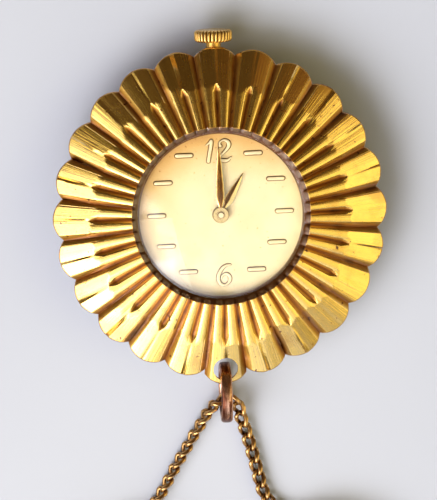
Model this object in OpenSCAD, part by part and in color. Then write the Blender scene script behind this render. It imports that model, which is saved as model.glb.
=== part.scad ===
// Fob watch with a scalloped flower bezel, a hand-wound movement, a jump ring and a neck chain.
// It lies on its back: +Z is out of the dial, +Y is 12 o'clock, +X is 3 o'clock.
// The origin is on the dial's axis, in the flat outer face of the case back.

/* [Flower bezel] */
// Number of petals round the bezel
petals = 24; // [16:1:32]
// Radius at the petal tips
petal_tip_r = 19; // [17:0.1:22]
// Depth of the notches between petals
petal_notch_depth = 1; // [0.4:0.1:2.8]
// How much longer the petal at 6 o'clock is, which carries the ring
ring_petal_extra = 0.7; // [0.3:0.1:1.5]
// Height of the petal tips' upper face
petal_tip_z = 5; // [4.8:0.05:6]
// Radius where the smooth pads meet the flutes
pad_inner_r = 14.6; // [13:0.1:16]
// Height of the upper face there
pad_inner_z = 6.9; // [6.6:0.05:7.4]
// Thickness of the petal plate
petal_t = 0.65; // [0.4:0.05:0.9]
// Width of the V grooves between petals
groove_w = 0.8; // [0.4:0.05:1.2]
// Depth of the V grooves
groove_d = 0.3; // [0.1:0.05:0.4]
// Radius of the hole in the petal at 6 o'clock
ring_hole_r = 1.4; // [1.1:0.05:1.6]
// Distance of that hole's centre from the petal's tip
ring_hole_in = 1.8; // [1.6:0.05:2]
// How far out the petal at 12 o'clock is cut flat for the crown
crown_flat_at = 18.6; // [18:0.1:18.8]

/* [Case] */
// Outer radius of the case band
case_r = 13.6; // [12.6:0.1:14.5]
// Radius of the bore that takes the movement ring
case_bore_r = 10; // [9.8:0.05:10.4]
// Height of the top of the case band
case_top_z = 6.3; // [6.1:0.05:6.4]
// Thickness of the snap-on back
back_t = 0.6; // [0.4:0.05:0.8]
// Radius of the flat face of the back
back_flat_r = 11.4; // [9:0.1:12]

/* [Crystal] */
// Radius of the crystal
crystal_r = 9.45; // [9:0.05:9.6]
// Height of the seat that the crystal stands on
crystal_seat_z = 6.5; // [6.3:0.05:6.8]
// Thickness of the crystal
crystal_t = 0.6; // [0.5:0.05:0.9]
// Rise of the crystal's dome
crystal_rise = 1.3; // [0.8:0.1:1.8]

/* [Dial and hands] */
// Radius of the dial
dial_r = 9.8; // [9.3:0.05:9.85]
// Thickness of the dial
dial_t = 0.35; // [0.25:0.05:0.4]
// Length of an hour bar
bar_l = 2.2; // [1.4:0.1:2.4]
// Width of an hour bar
bar_w = 0.58; // [0.4:0.02:0.8]
// Height of the bars and numerals above the dial
applied_t = 0.14; // [0.08:0.02:0.2]
// Length of the minute hand from its centre
minute_hand_l = 8.2; // [7:0.1:8.6]
// Length of the hour hand from its centre
hour_hand_l = 5.4; // [4.5:0.1:6.2]
// Thickness of a hand
hand_t = 0.12; // [0.08:0.01:0.15]

/* [Movement] */
// Radius of the movement
move_r = 8.7; // [8.6:0.05:8.9]
// Thickness of the main plate
plate_t = 1; // [0.9:0.05:1.05]
// Thickness of the bridges
bridge_t = 0.4; // [0.35:0.05:0.45]
// Radius of the balance rim
balance_r = 3.4; // [3:0.05:3.45]
// Radius of a jewel
jewel_r = 0.5; // [0.35:0.05:0.55]
// Radius of a pivot in its jewel
pivot_r = 0.1; // [0.06:0.01:0.12]

/* [Crown and stem] */
// Radius of the crown
crown_r = 2.15; // [1.8:0.05:2.6]
// Length of the crown
crown_l = 1.45; // [1.2:0.05:2]
// Height of the stem's axis
stem_z = 3.4; // [3.35:0.05:3.45]
// Radius of the stem
stem_r = 0.5; // [0.4:0.05:0.55]
// How far the crown pulls out to set the hands
crown_pull = 0.5; // [0.3:0.05:0.6]

/* [Jump ring] */
// Outer radius of the jump ring
jump_r = 3.5; // [3.3:0.05:3.6]
// Thickness of the ring's band, across its radius
jump_t = 0.95; // [0.6:0.05:1]
// Width of the ring's band, along its axis
jump_w = 1.28; // [0.8:0.02:1.4]

/* [Chain] */
// Diameter of the round space that the chain's links fill
chain_d = 1.5; // [1.2:0.05:1.6]
// Radius of the chain's innermost turn in a coil
coil_inner_r = 6.6; // [6:0.1:7]
// Turns side by side in a coil
coil_turns = 3; // [2:1:3]
// Layers of turns in a coil
coil_layers = 2; // [1:1:2]
// Distance between turns
coil_pitch = 1.6; // [1.5:0.05:1.7]

/* [Hidden] */
$fn = 72;
e = 0.01;                                  // overshoot of a cut
run_gap = 0.02;                            // radial clearance of a running fit
free_gap = 0.1;                            // clearance of pieces that only pass each other

// Heights in the case, from the back to the dial
bridge_z = 1.9;                            // outer face of the bridges
bridge_in_z = bridge_z + bridge_t;         // inner face of the bridges
plate_z = 3.7;                             // inner face of the main plate
plate_top_z = plate_z + plate_t;
dial_z = 5.4;                              // underside of the dial
dial_top_z = dial_z + dial_t;
winding_z = 1.6;                           // ratchet and crown wheel
winding_t = 0.25;
centre_wheel_z = 2.35;
fourth_wheel_z = 2.75;
third_wheel_z = 3.2;
escape_z = 3.25;
wheel_t = 0.15;
motion_z = 4.3;                            // minute wheel and setting wheel
hour_wheel_z = 4.75;
lever_z = plate_top_z + 0.05;              // setting lever and yoke
lever_t = 0.2;
hour_hand_z = dial_top_z + 0.32;
minute_hand_z = hour_hand_z + hand_t + 0.2;
arbor_top_z = minute_hand_z + hand_t + 0.2;

// Gears: teeth and modules
train_mod = 0.1;
barrel_teeth = 70;
centre_leaves = 10;
centre_mod = 0.085;
centre_teeth = 64;
third_leaves = 8;
third_mod = 0.08;
third_teeth = 60;
fourth_leaves = 8;
fourth_mod = 0.07;
fourth_teeth = 70;
escape_leaves = 7;
escape_teeth = 15;
escape_r = 1.75;
cannon_leaves = 12;
minute_teeth = 36;
minute_leaves = 10;
hour_teeth = 40;
motion_mod = 0.1;
hour_mod = motion_mod * (cannon_leaves + minute_teeth) / (minute_leaves + hour_teeth);
setting_teeth = 20;
winding_mod = 0.11;
winding_leaves = 28;
crown_wheel_teeth = 36;
ratchet_teeth = 48;
function mesh(a, b, mod) = mod * (a + b) / 2;      // distance between the axes of two gears

// Places of the arbors
barrel_reach = mesh(barrel_teeth, centre_leaves, train_mod);
crown_wheel_at = [0, 4.6];
ratchet_reach = mesh(ratchet_teeth, crown_wheel_teeth, winding_mod);
barrel_a = 180 - asin((barrel_reach^2 + crown_wheel_at[1]^2 - ratchet_reach^2)
                      / (2 * barrel_reach * crown_wheel_at[1]));
function polar(r, a) = [r * cos(a), r * sin(a)];
barrel_at = polar(barrel_reach, barrel_a);
third_at = polar(mesh(centre_teeth, third_leaves, centre_mod), 30);
fourth_at = third_at + polar(mesh(third_teeth, fourth_leaves, third_mod), -35);
escape_at = fourth_at + polar(mesh(fourth_teeth, escape_leaves, fourth_mod), -100);
escape_to_pallet = 205;
pallet_at = escape_at + polar(escape_r * 1.155, escape_to_pallet);
pallet_reach = 2.3;
pallet_to_balance = 200;
balance_at = pallet_at + polar(pallet_reach, pallet_to_balance);
setting_at = [0, 3.4];
motion_reach = mesh(cannon_leaves, minute_teeth, motion_mod);
setting_reach = mesh(setting_teeth, minute_teeth, motion_mod);
minute_y = (motion_reach^2 + setting_at[1]^2 - setting_reach^2) / (2 * setting_at[1]);
minute_at = [sqrt(motion_reach^2 - minute_y^2), minute_y];
train = [third_at, fourth_at, escape_at];
jewelled = [third_at, fourth_at, escape_at, pallet_at, balance_at];
barrel_r = 3.3;                            // drum, inside the teeth
barrel_wall = 0.25;
barrel_z = 2.75;
barrel_h = 1.15;
spring_z = barrel_z + 0.2;
spring_h = barrel_h - 0.4;
plate_floor_z = motion_z - 0.05;           // floor of the recess for the motion work
jewel_t = 0.3;
pallet_bridge_z = 3;
pallet_bridge_t = 0.15;
balance_z = 2.62;
balance_t = 0.26;
roller_z = 3.16;
click_a = 200;
click_at = barrel_at + polar(3.6, click_a);
tube_out_r = 0.75;                         // hour wheel's tube
tube_in_r = 0.48;
cannon_r = tube_in_r - run_gap;
arbor_r = 0.3;
numeral_h = 2.5;
numeral_lean = 0.18;
stroke = 0.42;

// Feet and screws of the bridges
barrel_feet = [[-6.3, 5.1], [-5.4, -2.1]];
train_feet = [[5.9, 4.6], [7.9, -1.9]];
cock_foot = [-4.4, -5.9];
pallet_feet = [for (s = [-1, 1]) pallet_at + s * polar(1.5, escape_to_pallet + 90)];
stem_screw = [1.1, 8];
screw_r = 0.22;
screw_head_r = 0.42;
foot_r = 0.5;

// Keyless work along the stem
crown_y = 19.4;
tube_r = 0.85;
tube_end_y = crown_y + 0.3;
winding_y = 6.25;
winding_l = 0.9;
clutch_y = 5;
clutch_l = 1.15;
clutch_r = 1.05;
clutch_groove_y = 5.6;
clutch_groove_w = 0.4;
lever_groove_y = 7.7;
lever_groove_w = 0.4;
lever_groove_r = 0.33;
clutch_groove_r = 0.75;
stem_tip_y = 3.7;
stem_tip_r = 0.28;
setting_lever_at = [2.2, 7.2];
yoke_at = [-2.6, 6.4];
slot_x = 1.75;                             // half width of the slot for the winding pinion
slot_y = [4.4, 7.3];
post_r = 0.25;
jumper_z = stem_z + winding_mod * (winding_leaves / 2 + 1) + 0.07;

// Bezel and crystal
bezel_seat_z = 5.85;
petal_notch_r = petal_tip_r - petal_notch_depth;
ring_hole_at = petal_tip_r + ring_petal_extra - ring_hole_in;
bezel_skirt_r = case_bore_r + 0.6;
bezel_lip_r = crystal_r - 0.25;
bezel_inner_r = 10.15;
bezel_inner_z = 7.9;
crystal_edge_z = crystal_seat_z + crystal_t;
crystal_ball_r = (crystal_r^2 + crystal_rise^2) / (2 * crystal_rise);
petal_slope = (pad_inner_z - petal_tip_z) / (petal_tip_r - pad_inner_r);
flute_slope = (bezel_inner_z - pad_inner_z) / (pad_inner_r - bezel_inner_r);
petal_end_r = petal_tip_r + ring_petal_extra + 0.2;
petal_end_z = petal_tip_z - petal_slope * (petal_end_r - petal_tip_r);
bezel_under = [
    [bezel_skirt_r, bezel_inner_z - petal_t - 0.1], [pad_inner_r, pad_inner_z - petal_t],
    [petal_end_r, petal_end_z - petal_t]
];
case_shoulder_r = case_r - 0.5;
case_shoulder_z = min(case_top_z, lookup(case_shoulder_r, bezel_under) - free_gap);
petal_half = petal_notch_r * sin(180 / petals);
petal_sagitta = petal_tip_r - petal_notch_r * cos(180 / petals);
petal_arc_r = (petal_half^2 + petal_sagitta^2) / (2 * petal_sagitta);

// Jump ring: it turns on the bridge of metal outside the hole, and its band's outer edge passes
// the hole's centre by jump_past
jump_past = 0.5;
jump_centre = [0, -ring_hole_at - jump_r + jump_past, jump_r];

// Chain: routes from the ring to the coils, and the coils
chain_z = chain_d / 2;
left_route = [
    [0, -21.9, 2.45], [-0.6, -22.1, 2.35], [-1.2, -22.5, 2.1], [-1.7, -23.1, 1.7],
    [-2.2, -23.8, 1.3], [-2.7, -24.6, 1], [-3.2, -25.5, 0.8], [-3.8, -26.4, chain_z],
    [-4.4, -27.4, chain_z], [-5.1, -28.5, chain_z], [-5.8, -29.6, chain_z],
    [-6.5, -30.8, chain_z], [-7.2, -32, chain_z], [-8, -33.3, chain_z],
    [-9.1, -34.6, chain_z], [-10.8, -35.8, chain_z], [-13, -36.5, chain_z]
];
right_route = [
    [0, -21.9, 2.45], [0.6, -22.1, 2.35], [1.2, -22.5, 2.1], [1.6, -23.3, 1.7],
    [1.8, -24.4, 1.3], [2.1, -25.4, 1], [2.4, -26.4, 0.8], [2.7, -27.5, chain_z],
    [3, -28.7, chain_z], [3.3, -30, chain_z], [3.6, -31.3, chain_z], [3.9, -32.6, chain_z],
    [4.4, -33.9, chain_z], [5.4, -35.1, chain_z], [7, -35.9, chain_z], [9, -36.2, chain_z]
];
coil_at = [10.75, -46];
coil_outer_r = coil_inner_r + (coil_turns - 1) * coil_pitch;
coil_h = chain_d + (coil_layers - 1) * coil_pitch * 0.9;
clasp_at = [0.4, -56];
clasp_r = 2.3;
clasp_tube_r = 0.8;
clasp_bore_r = 0.35;
clasp_gap_a = 60;                          // opening of the spring ring
clasp_knob_r = 0.2;
clasp_eye_r = 0.45;
clasp_eye_x = clasp_r + clasp_tube_r + 0.65;
link_r = 1.2;                              // rings at the chain's two ends
link_wire_r = 0.2;
link_reach = sqrt(link_r^2 - (link_r + link_wire_r - clasp_tube_r)^2);

// ---------------------------------------------------------------- shared shapes

module at(p, z = 0) translate([p[0], p[1], z]) children();

module disc(r, z, h) translate([0, 0, z]) cylinder(r = r, h = h);

module ring(r_out, r_in, z, h) difference() {
    disc(r_out, z, h);
    disc(r_in, z - e, h + 2 * e);
}

// A flat bar between two points
module bar(p, q, w, z, h) {
    d = q - p;
    translate([p[0], p[1], z]) rotate([0, 0, atan2(d[1], d[0])])
        translate([0, -w / 2, 0]) cube([norm(d), w, h]);
}

// Outline of a gear: straight-sided teeth a module above the pitch circle and 1.25 below it
function gear_points(n, mod, turn = 0) = let (pitch = 360 / n, r = n * mod / 2) [
    for (i = [0 : n - 1], k = [[-0.36, -1.25], [-0.13, 1], [0.13, 1], [0.36, -1.25]])
        polar(r + k[1] * mod * (n < 15 && k[1] > 0 ? 0.9 : 1), turn + (i + k[0]) * pitch)
];

module gear(n, mod, z, h, turn = 0)
    translate([0, 0, z]) linear_extrude(h) polygon(gear_points(n, mod, turn));

// A toothed wheel with spokes
module spoked(n, mod, z, h, spokes, hub_r, turn = 0) {
    inner = n * mod / 2 - 3.5 * mod;
    difference() {
        gear(n, mod, z, h, turn);
        difference() {
            disc(inner, z - e, h + 2 * e);
            disc(hub_r, z - 2 * e, h + 4 * e);
            for (i = [0 : spokes - 1]) rotate([0, 0, i * 360 / spokes])
                translate([0, -0.16, z - 2 * e]) cube([inner + e, 0.32, h + 4 * e]);
        }
    }
}

// Turned part along +Y from y = 0
module along_y() rotate([-90, 0, 0]) children();

// A strip wound into a flat spiral, as one prism
function spiral_points(r0, r1, turns, half) = let (n = turns * 24) concat(
    [for (i = [0 : n]) polar(r0 + (r1 - r0) * i / n + half, i * 15)],
    [for (i = [n : -1 : 0]) polar(r0 + (r1 - r0) * i / n - half, i * 15)]
);

module slot_cut(r, z, w, d) translate([-r, -w / 2, z]) cube([2 * r, w, d]);

// A screw with its slotted head towards the back
module screw(head_z, head_h, tip_z) {
    difference() {
        disc(screw_head_r, head_z, head_h);
        slot_cut(screw_head_r + e, head_z - e, 0.12, 0.12);
    }
    disc(screw_r, head_z + head_h, tip_z - head_z - head_h);
}

// ---------------------------------------------------------------- case

module bezel_profile() polygon([
    [bezel_lip_r, bezel_seat_z], [bezel_skirt_r, bezel_seat_z],
    each bezel_under, [petal_end_r, petal_end_z],
    [pad_inner_r, pad_inner_z], [bezel_inner_r, bezel_inner_z],
    [crystal_r + 0.12, crystal_edge_z + 0.05], [crystal_r, crystal_edge_z],
    [crystal_r, crystal_seat_z], [bezel_lip_r, crystal_seat_z]
]);

module petal_outline(h) {
    cylinder(r = petal_notch_r - petal_sagitta, h = h);
    for (i = [0 : petals - 1]) rotate([0, 0, 90 + i * 360 / petals])
        translate([petal_tip_r - petal_arc_r, 0, 0]) cylinder(r = petal_arc_r, h = h);
    translate([0, petal_arc_r - petal_tip_r - ring_petal_extra, 0])
        cylinder(r = petal_arc_r, h = h);
}

// A V groove that runs down the slope between two radii
module v_groove(r0, z0, r1, z1, w, d) {
    long = norm([r1 - r0, z1 - z0]);
    translate([r0, 0, z0]) rotate([0, atan2(z0 - z1, r1 - r0), 0]) rotate([90, 0, 90])
        linear_extrude(long) polygon([[0, -d], [w, d], [-w, d]]);
}

module flower_bezel() color("goldenrod") difference() {
    intersection() {
        rotate_extrude() bezel_profile();
        translate([0, 0, petal_end_z - 2]) petal_outline(bezel_inner_z);
    }
    for (i = [0 : petals - 1]) rotate([0, 0, 90 + (i + 0.5) * 360 / petals])
        v_groove(pad_inner_r - 0.1, pad_inner_z + 0.1 * petal_slope,
                 petal_end_r, petal_end_z, groove_w, groove_d);
    for (i = [0 : 2 * petals - 1]) rotate([0, 0, 90 + i * 180 / petals])
        v_groove(bezel_inner_r - 0.3, bezel_inner_z + 0.3 * flute_slope,
                 pad_inner_r + 0.1, pad_inner_z - 0.1 * flute_slope,
                 groove_w * 0.7, groove_d * 0.8);
    translate([0, -ring_hole_at, 0]) cylinder(r = ring_hole_r, h = bezel_inner_z);
    translate([-petal_half, crown_flat_at, 0]) cube([2 * petal_half, petal_end_r, bezel_inner_z]);
}

module case_middle() color("darkgoldenrod") difference() {
    rotate_extrude() polygon([
        [case_bore_r, back_t], [case_r - 0.8, back_t], [case_r, 1.9], [case_r, 4.6],
        [case_shoulder_r, case_shoulder_z], [bezel_skirt_r, case_top_z],
        [bezel_skirt_r, bezel_seat_z],
        [case_bore_r, bezel_seat_z]
    ]);
    translate([0, 0, stem_z]) along_y() cylinder(r = tube_r, h = case_r + 1);
}

module case_back() color("gold") {
    difference() {
        rotate_extrude() polygon([
            [0, 0], [back_flat_r, 0], [case_r - 0.9, back_t * 0.6], [case_r - 0.9, back_t],
            [0, back_t]
        ]);
        translate([-1, -case_r, back_t * 0.55]) cube([2, 1.3, 1]);
    }
    ring(case_bore_r, case_bore_r - 0.4, back_t, 0.6);
}

module crystal() color("whitesmoke", 0.4) difference() {
    intersection() {
        disc(crystal_r, crystal_seat_z, crystal_t + crystal_rise + 1);
        translate([0, 0, crystal_edge_z + crystal_rise - crystal_ball_r])
            sphere(r = crystal_ball_r, $fn = 200);
    }
    translate([0, 0, crystal_edge_z + crystal_rise - crystal_ball_r])
        sphere(r = crystal_ball_r - crystal_t, $fn = 200);
}

module movement_ring() color("lightgrey") difference() {
    ring(case_bore_r - 0.03, move_r + 0.03, bridge_z - 0.1, dial_z - bridge_z + 0.1);
    translate([0, 0, stem_z]) along_y() cylinder(r = stem_r + free_gap, h = case_r);
}

module case_tube() color("gold") translate([0, 0, stem_z]) along_y() difference() {
    translate([0, 0, case_bore_r + 0.1]) cylinder(r = tube_r, h = tube_end_y - case_bore_r - 0.1);
    translate([0, 0, case_bore_r]) cylinder(r = stem_r + run_gap, h = tube_end_y);
}

// ---------------------------------------------------------------- dial and hands

module dial() color("bisque") {
    ring(dial_r, 0.85, dial_z, dial_t);
    for (a = [150, 330]) at(polar(move_r - 0.3, a), plate_top_z)
        cylinder(r = 0.2, h = dial_z - plate_top_z);
}

// Places of the bars: columns and rows on the dial
bar_places = [
    for (s = [-1, 1]) for (p = [[3.9, 6.8], [6.35, 3.8], [7.2, 0.1], [6.25, -3.4], [3.85, -6.4]])
        [s * p[0], p[1]]
];

module hour_markers() color("gold") for (p = bar_places) at(p, dial_top_z) {
    straight = (bar_l - bar_w) / 2;
    translate([-straight, -bar_w / 2, 0]) cube([2 * straight, bar_w, applied_t]);
    for (s = [-1, 1]) translate([s * straight, 0, 0]) cylinder(r = bar_w / 2, h = applied_t);
}

// A band round an arc, for the numerals
module arc_band(r, a0, a1, w) polygon(concat(
    [for (i = [0 : 16]) polar(r + w / 2, a0 + (a1 - a0) * i / 16)],
    [for (i = [16 : -1 : 0]) polar(r - w / 2, a0 + (a1 - a0) * i / 16)]
));

module numeral_twelve() color("gold") at([0.05, 7.1], dial_top_z) linear_extrude(applied_t) {
    lean = numeral_lean * numeral_h / 2;
    polygon([
        [-1.2 - lean, -numeral_h / 2], [-0.75 - lean, -numeral_h / 2],
        [-0.7 + lean, numeral_h / 2], [-1.05 + lean, numeral_h / 2],
        [-1.45 + lean, numeral_h / 2 - 0.45], [-1.15 + lean * 0.6, numeral_h / 2 - 0.5]
    ]);
    translate([0.55, 0.5]) arc_band(0.55, -40, 175, stroke);
    polygon([
        [-0.35 - lean, -numeral_h / 2], [1.2 - lean, -numeral_h / 2],
        [1.3 - lean, -numeral_h / 2 + 0.45], [0.35 - lean, -numeral_h / 2 + 0.45],
        [1.2, 0.25], [0.8, 0.05]
    ]);
}

module numeral_six() color("gold") at([0.1, -6.85], dial_top_z) linear_extrude(applied_t) {
    difference() {
        translate([0, -0.5]) circle(r = 0.8);
        translate([0, -0.5]) circle(r = 0.8 - stroke);
    }
    translate([0.55, -0.4]) arc_band(1.3, 95, 170, stroke);
}

// A leaf-shaped hand pointing along +Y, with its boss
module hand(long, wide, widest_at, boss_r, bore_r) difference() {
    union() {
        linear_extrude(hand_t) polygon([
            [0, long], [wide / 2, widest_at], [wide / 4, 0], [-wide / 4, 0],
            [-wide / 2, widest_at]
        ]);
        cylinder(r = boss_r, h = hand_t);
    }
    translate([0, 0, -e]) cylinder(r = bore_r, h = hand_t + 2 * e);
}

module hour_hand() color("goldenrod") translate([0, 0, hour_hand_z]) rotate([0, 0, -30])
    hand(hour_hand_l, 1.05, 1.9, 0.95, tube_out_r);

module minute_hand() color("goldenrod") translate([0, 0, minute_hand_z])
    hand(minute_hand_l, 0.95, 2.1, 0.9, cannon_r);

module hour_wheel() color("khaki") difference() {
    union() {
        gear(hour_teeth, hour_mod, hour_wheel_z, 0.2);
        disc(tube_out_r, hour_wheel_z, hour_hand_z + hand_t - hour_wheel_z);
    }
    disc(tube_in_r, hour_wheel_z - e, 3);
}

module cannon_pinion() color("silver") difference() {
    union() {
        gear(cannon_leaves, motion_mod, motion_z, 0.3);
        disc(cannon_r, motion_z, minute_hand_z + hand_t - motion_z);
    }
    disc(arbor_r, motion_z - e, 3);
}

module minute_wheel() color("khaki") at(minute_at) difference() {
    union() {
        gear(minute_teeth, motion_mod, motion_z, 0.2, 5);
        gear(minute_leaves, hour_mod, motion_z + 0.2, hour_wheel_z + 0.2 - motion_z - 0.2);
    }
    disc(post_r + run_gap, motion_z - e, 1);
}

module setting_wheel() color("khaki") at(setting_at) difference() {
    gear(setting_teeth, motion_mod, motion_z, 0.2);
    disc(post_r + run_gap, motion_z - e, 1);
}

// ---------------------------------------------------------------- plate and bridges

module main_plate() color("silver") difference() {
    union() {
        disc(move_r, plate_z, plate_t);
        ring(move_r, move_r - 0.6, plate_top_z, dial_z - plate_top_z);
        intersection() {
            translate([-1.5, slot_y[1], bridge_in_z]) cube([3, 2, plate_z - bridge_in_z]);
            disc(move_r, bridge_in_z, 2);
        }
        translate([-0.45, 3.6, stem_z - 0.5]) cube([1.25, 0.7, plate_z - stem_z + 0.5]);
    }
    at(barrel_at, plate_z - e) cylinder(r = 3.75, h = 0.25 + e);
    at(barrel_at, plate_z - e) cylinder(r = 0.4 + run_gap, h = 2);
    at(minute_at, plate_floor_z) difference() {
        cylinder(r = motion_mod * (minute_teeth / 2 + 1) + free_gap, h = 2);
        translate([0, 0, -e]) cylinder(r = post_r, h = 0.7);
    }
    at(setting_at, plate_floor_z) difference() {
        cylinder(r = motion_mod * (setting_teeth / 2 + 1) + free_gap, h = 2);
        translate([0, 0, -e]) cylinder(r = post_r, h = 0.4);
    }
    disc(arbor_r + free_gap, plate_z - 1, 3);
    disc(motion_mod * (cannon_leaves / 2 + 1) + free_gap, plate_floor_z, 3);
    translate([-slot_x, slot_y[0], plate_z - e]) cube([2 * slot_x, slot_y[1] - slot_y[0], 2]);
    translate([0, slot_y[1] - e, stem_z]) along_y() cylinder(r = stem_r + run_gap, h = 3);
    translate([0, 0, stem_z]) along_y() cylinder(r = stem_tip_r + run_gap, h = slot_y[0]);
    translate([-0.3, lever_groove_y - 0.3, stem_z]) cube([0.6, 0.6 + crown_pull, 3]);
    translate([-0.6, slot_y[1], plate_top_z]) cube([2.6, 2, lever_z + lever_t + 0.05 - plate_top_z]);
    for (a = [150, 330]) at(polar(move_r - 0.3, a), plate_top_z) cylinder(r = 0.22, h = 2);
    for (p = jewelled) at(p, plate_z - e) cylinder(r = jewel_r, h = plate_t + 2 * e);
    for (p = concat(barrel_feet, train_feet, [cock_foot], pallet_feet))
        at(p, plate_z - e) cylinder(r = screw_r, h = 0.5);
    at(stem_screw, bridge_in_z - e) cylinder(r = screw_r, h = 1.9);
}

module barrel_bridge() color("silver") difference() {
    union() {
        intersection() {
            union() {
                at(barrel_at, bridge_z) cylinder(r = 4.9, h = bridge_t);
                at(crown_wheel_at, bridge_z) cylinder(r = 2.3, h = bridge_t);
                translate([-2.3, crown_wheel_at[1], bridge_z]) cube([4.6, 5, bridge_t]);
            }
            disc(move_r - 0.05, bridge_z, bridge_t);
        }
        for (p = barrel_feet) at(p, bridge_in_z) cylinder(r = foot_r, h = plate_z - bridge_in_z);
        at(crown_wheel_at, winding_z) cylinder(r = 0.6, h = bridge_z - winding_z);
    }
    at(balance_at, bridge_z - 1) cylinder(r = balance_r + 0.2, h = 1.9);
    translate([-slot_x, winding_y - 0.1, bridge_z - e])
        cube([2 * slot_x, slot_y[1] - winding_y + 0.1, bridge_t + 2 * e]);
    for (p = concat(barrel_feet, [stem_screw, crown_wheel_at]))
        at(p, winding_z - e) cylinder(r = screw_r, h = plate_z - winding_z + 2 * e);
    at(barrel_at, bridge_z - e) cylinder(r = 0.4 + run_gap, h = 1);
    disc(pivot_r * 2 + run_gap, bridge_z - e, 1);
}

module train_bridge() color("silver") difference() {
    intersection() {
        union() {
            for (pair = [[third_at, train_feet[0]], [third_at, fourth_at],
                         [fourth_at, escape_at], [escape_at, train_feet[1]],
                         [fourth_at, train_feet[0]]])
                bar(pair[0], pair[1], 1.5, bridge_z, bridge_t);
            for (p = concat(train, train_feet)) at(p, bridge_z) cylinder(r = 1, h = bridge_t);
            for (p = train_feet) at(p, bridge_in_z)
                cylinder(r = foot_r, h = plate_z - bridge_in_z);
        }
        disc(move_r - 0.05, bridge_z - e, 3);
    }
    for (p = train) at(p, bridge_z - e) cylinder(r = jewel_r, h = 1);
    for (p = train_feet) at(p, bridge_z - e) cylinder(r = screw_r, h = 2);
}

module balance_cock() color("silver") difference() {
    union() {
        bar(cock_foot, balance_at, 1.6, bridge_z, bridge_t);
        at(cock_foot, bridge_z) cylinder(r = 0.9, h = plate_z - bridge_z);
        at(balance_at, bridge_z) cylinder(r = 0.95, h = bridge_t);
    }
    at(balance_at, bridge_z - e) cylinder(r = jewel_r, h = 1);
    at(cock_foot, bridge_z - e) cylinder(r = screw_r, h = 2);
}

module pallet_bridge() color("silver") difference() {
    union() {
        bar(pallet_feet[0], pallet_feet[1], 0.7, pallet_bridge_z, pallet_bridge_t);
        for (p = pallet_feet) at(p, pallet_bridge_z)
            cylinder(r = 0.42, h = plate_z - pallet_bridge_z);
    }
    at(pallet_at, pallet_bridge_z - e) cylinder(r = pivot_r + run_gap, h = 1);
    for (p = pallet_feet) at(p, pallet_bridge_z - e) cylinder(r = screw_r * 0.7, h = 1);
}

module plate_jewels() color("crimson")
    for (p = jewelled) at(p) ring(jewel_r, pivot_r + run_gap, plate_z + 0.05, jewel_t);

module bridge_jewels() color("crimson")
    for (p = concat(train, [balance_at])) at(p)
        ring(jewel_r, pivot_r + run_gap, bridge_in_z - jewel_t - 0.05, jewel_t);

module bridge_screws() color("steelblue") {
    for (p = concat(barrel_feet, train_feet, [cock_foot, stem_screw]))
        at(p) screw(bridge_z - 0.25, 0.25, plate_z + 0.45);
    for (p = pallet_feet) at(p) {
        disc(0.3, pallet_bridge_z - 0.1, 0.1);
        disc(screw_r * 0.7, pallet_bridge_z, plate_z - pallet_bridge_z + 0.4);
    }
}

// ---------------------------------------------------------------- going barrel and winding

module mainspring_barrel() color("khaki") at(barrel_at) difference() {
    union() {
        disc(barrel_r, barrel_z, barrel_h);
        gear(barrel_teeth, train_mod, barrel_z + 0.2, 0.3, barrel_a + 180 / barrel_teeth);
    }
    disc(barrel_r - barrel_wall, barrel_z + 0.15, barrel_h);
    disc(0.4 + run_gap, barrel_z - e, 1);
}

module barrel_cover() color("khaki") at(barrel_at)
    ring(barrel_r - barrel_wall, 0.4 + run_gap, barrel_z + barrel_h - 0.15, 0.15);

module mainspring() color("dimgray") at(barrel_at, spring_z) linear_extrude(spring_h)
    polygon(spiral_points(1, barrel_r - barrel_wall - 0.12, 7, 0.06));

module barrel_arbor() color("silver") at(barrel_at) {
    disc(0.4, winding_z, plate_z + 0.8 - winding_z);
    ring(0.85, 0.4, spring_z, spring_h);
}

module ratchet_wheel() color("silver") at(barrel_at) difference() {
    gear(ratchet_teeth, winding_mod, winding_z, winding_t);
    disc(0.4, winding_z - e, 1);
}

module ratchet_screw() color("steelblue") at(barrel_at) difference() {
    disc(0.8, winding_z - 0.2, 0.2);
    slot_cut(0.9, winding_z - 0.2 - e, 0.15, 0.12);
}

module crown_wheel() color("silver") at(crown_wheel_at) difference() {
    gear(crown_wheel_teeth, winding_mod, winding_z, winding_t, 5);
    disc(0.6 + run_gap, winding_z - e, 1);
}

module crown_wheel_screw() color("steelblue") at(crown_wheel_at) {
    difference() {
        disc(0.95, winding_z - 0.25, 0.2);
        slot_cut(1, winding_z - 0.25 - e, 0.15, 0.12);
    }
    disc(screw_r, winding_z - 0.05, 0.7);
}

module click() color("silver") at(click_at) difference() {
    union() {
        disc(0.45, winding_z, winding_t);
        rotate([0, 0, click_a + 145]) translate([0, -0.15, winding_z]) cube([0.95, 0.3, winding_t]);
    }
    disc(0.2 + run_gap, winding_z - e, 1);
}

// A bent wire on a block beside the click, with the click's post
module click_spring() color("silver") {
    at(click_at) disc(0.2, winding_z - 0.1, bridge_z - winding_z + 0.1);
    at(click_at + [-0.2, 1.5]) disc(0.3, winding_z, bridge_z - winding_z);
    bar(click_at + [-0.35, 1.3], click_at + [-0.55, 0.1], 0.08, winding_z, winding_t);
}

// ---------------------------------------------------------------- train

// A wheel and its pinion on an arbor with a pivot at each end
module wheel_and_pinion(teeth, mod, z, leaves, leaf_mod, leaf_z, leaf_h, turn = 0) {
    spoked(teeth, mod, z, wheel_t, 4, 0.45, turn);
    gear(leaves, leaf_mod, leaf_z, leaf_h);
    disc(0.15, bridge_in_z + 0.02, plate_z - bridge_in_z - 0.04);
    disc(pivot_r, bridge_in_z - jewel_t, plate_z + jewel_t - bridge_in_z + jewel_t);
}

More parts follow.
